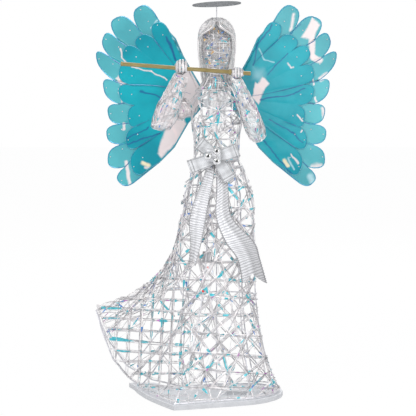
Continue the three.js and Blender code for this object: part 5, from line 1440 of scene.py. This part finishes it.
# Light bulbs on the strings
LOWER_BULBS = [(-102.0, -49.2, 58.6), (-58.4, -74.8, 111.3), (-59.2, -38.7, 175.4), (-31.7, -52.7, 242.8),
               (-35.4, -34.4, 314.8)]
UPPER_BULBS = [(-29.6, -33.3, 394.1), (-16.8, -39.9, 467.1), (-22.7, -27.9, 555.3), (0, -37.1, 640.9)]
red_bulb = mottled("red_bulb", (0.55, 0.01, 0.005), (0.80, 0.03, 0.01), (0.3, 0.4), 200, 0.0, 0.05, 0.0002)
set_inputs(red_bulb.node_tree, red_bulb.node_tree.nodes["Principled BSDF"],
           {"Emission Color": (0.80, 0.02, 0.01, 1), "Emission Strength": 0.05})
clear_bulb = mottled("clear_bulb", (0.70, 0.68, 0.64), (0.90, 0.89, 0.86), (0.08, 0.2), 200, 0.0, 0.05, 0.0002,
                     coat=0.6, alpha=0.8)
RED_LEADS = {3: ((-31.7, -49.5, 247.2), (-31, -60, 264)), 4: ((-35.4, -34.4, 310.4), (-19.5, -52, 317))}
BULB = [(1.3, -4.2), (2.2, -4.0), (2.7, -3.0), (2.7, -1.6), (2.55, -1.4), (2.55, 1.4), (2.1, 2.9), (1.2, 3.8),
        (0.2, 4.2)]
for word, places, red in (("lower", LOWER_BULBS, (3, 4)), ("upper", UPPER_BULBS, ())):
    lamps = Solid()
    for index, place in enumerate(places):
        if index in red:
            lead = np.linspace(*[np.array(end, float) for end in RED_LEADS[index]], 6)
            lead[1:-1, 2] -= 1.5
            lamps.put(tube_ring(lead, 0.6, 8, False, [(0, 0, 1)] * 6))
            lamps.put(turned([(radius * 0.9, height * 0.6) for radius, height in BULB], 14, tuple(lead[-1])), 1)
        else:
            lamps.put(turned(BULB, 14, place))
    obj = lamps.build(word + "_bulbs", [clear_bulb, red_bulb])


# Materials of the pieces that the model carries over
def named(part):
    return [name for name in nodes if part in name]


base_paint = mottled("base_paint", (0.74, 0.75, 0.775), (0.84, 0.85, 0.87), (0.5, 0.65), 45, 0.0, 0.12, 0.0004)
# Painted shade: the base plate's sides are darker than its top, by the upright part of the normal
shade(base_paint, False, [(0.2, 0.68), (0.8, 1)])
CARRIED = [
    (["base_plate"], base_paint),
    (named("contact_plate") + named("pin"), steel),
    (["right_hand", "left_hand"],
     mottled("hand_net", (0.22, 0.22, 0.23), (0.62, 0.60, 0.61), (0.3, 0.6), 260, 0.1, 0.8, 0.001)),
    (["skirt_frame", "torso_frame", "right_arm_wire", "left_arm_wire", "halo_wire"],
     mottled("white_wire", (0.50, 0.50, 0.53), (0.76, 0.75, 0.78), (0.25, 0.45), 110, 0.3, 0.15, 0.0003)),
    (["lower_light_string", "upper_light_string"],
     mottled("light_wire", (0.60, 0.60, 0.60), (0.80, 0.80, 0.79), (0.35, 0.5), 150, 0.0, 0.1, 0.0002)),
    (["battery_holder", "battery_door"],
     mottled("pale_moulding", (0.70, 0.71, 0.73), (0.80, 0.81, 0.83), (0.45, 0.6), 220, 0.0, 0.25, 0.0003)),
    (["wing_bracket"],
     mottled("frosted_moulding", (0.86, 0.86, 0.87), (0.97, 0.97, 0.98), (0.35, 0.5), 150, 0.0, 0.2, 0.0003,
             alpha=0.2)),
    (["light_junction", "power_switch"],
     mottled("grey_moulding", (0.34, 0.34, 0.35), (0.48, 0.48, 0.49), (0.4, 0.6), 200, 0.0, 0.25, 0.0003)),
    (named("foot"), mottled("rubber", (0.035, 0.035, 0.037), (0.07, 0.07, 0.073), (0.6, 0.8), 180, 0.0, 0.3, 0.0004)),
    (named("flute"),
     mottled("brushed_gold", (0.23, 0.18, 0.07), (0.38, 0.30, 0.13), (0.3, 0.45), 60, 0.55, 0.1, 0.0002, (1, 12, 12))),
    (["halo_disc"], mottled("halo_glitter", (0.07, 0.075, 0.08), (0.30, 0.31, 0.32), (0.75, 0.95), 330, 0.0, 0.9,
                            0.0008, specular=0.08)),
    (named("battery_cell"),
     mottled("cell_wrap", (0.12, 0.13, 0.15), (0.22, 0.23, 0.26), (0.3, 0.4), 90, 0.2, 0.1, 0.0002)),
]
for names, material in CARRIED:
    for name in names:
        dress(name, material)
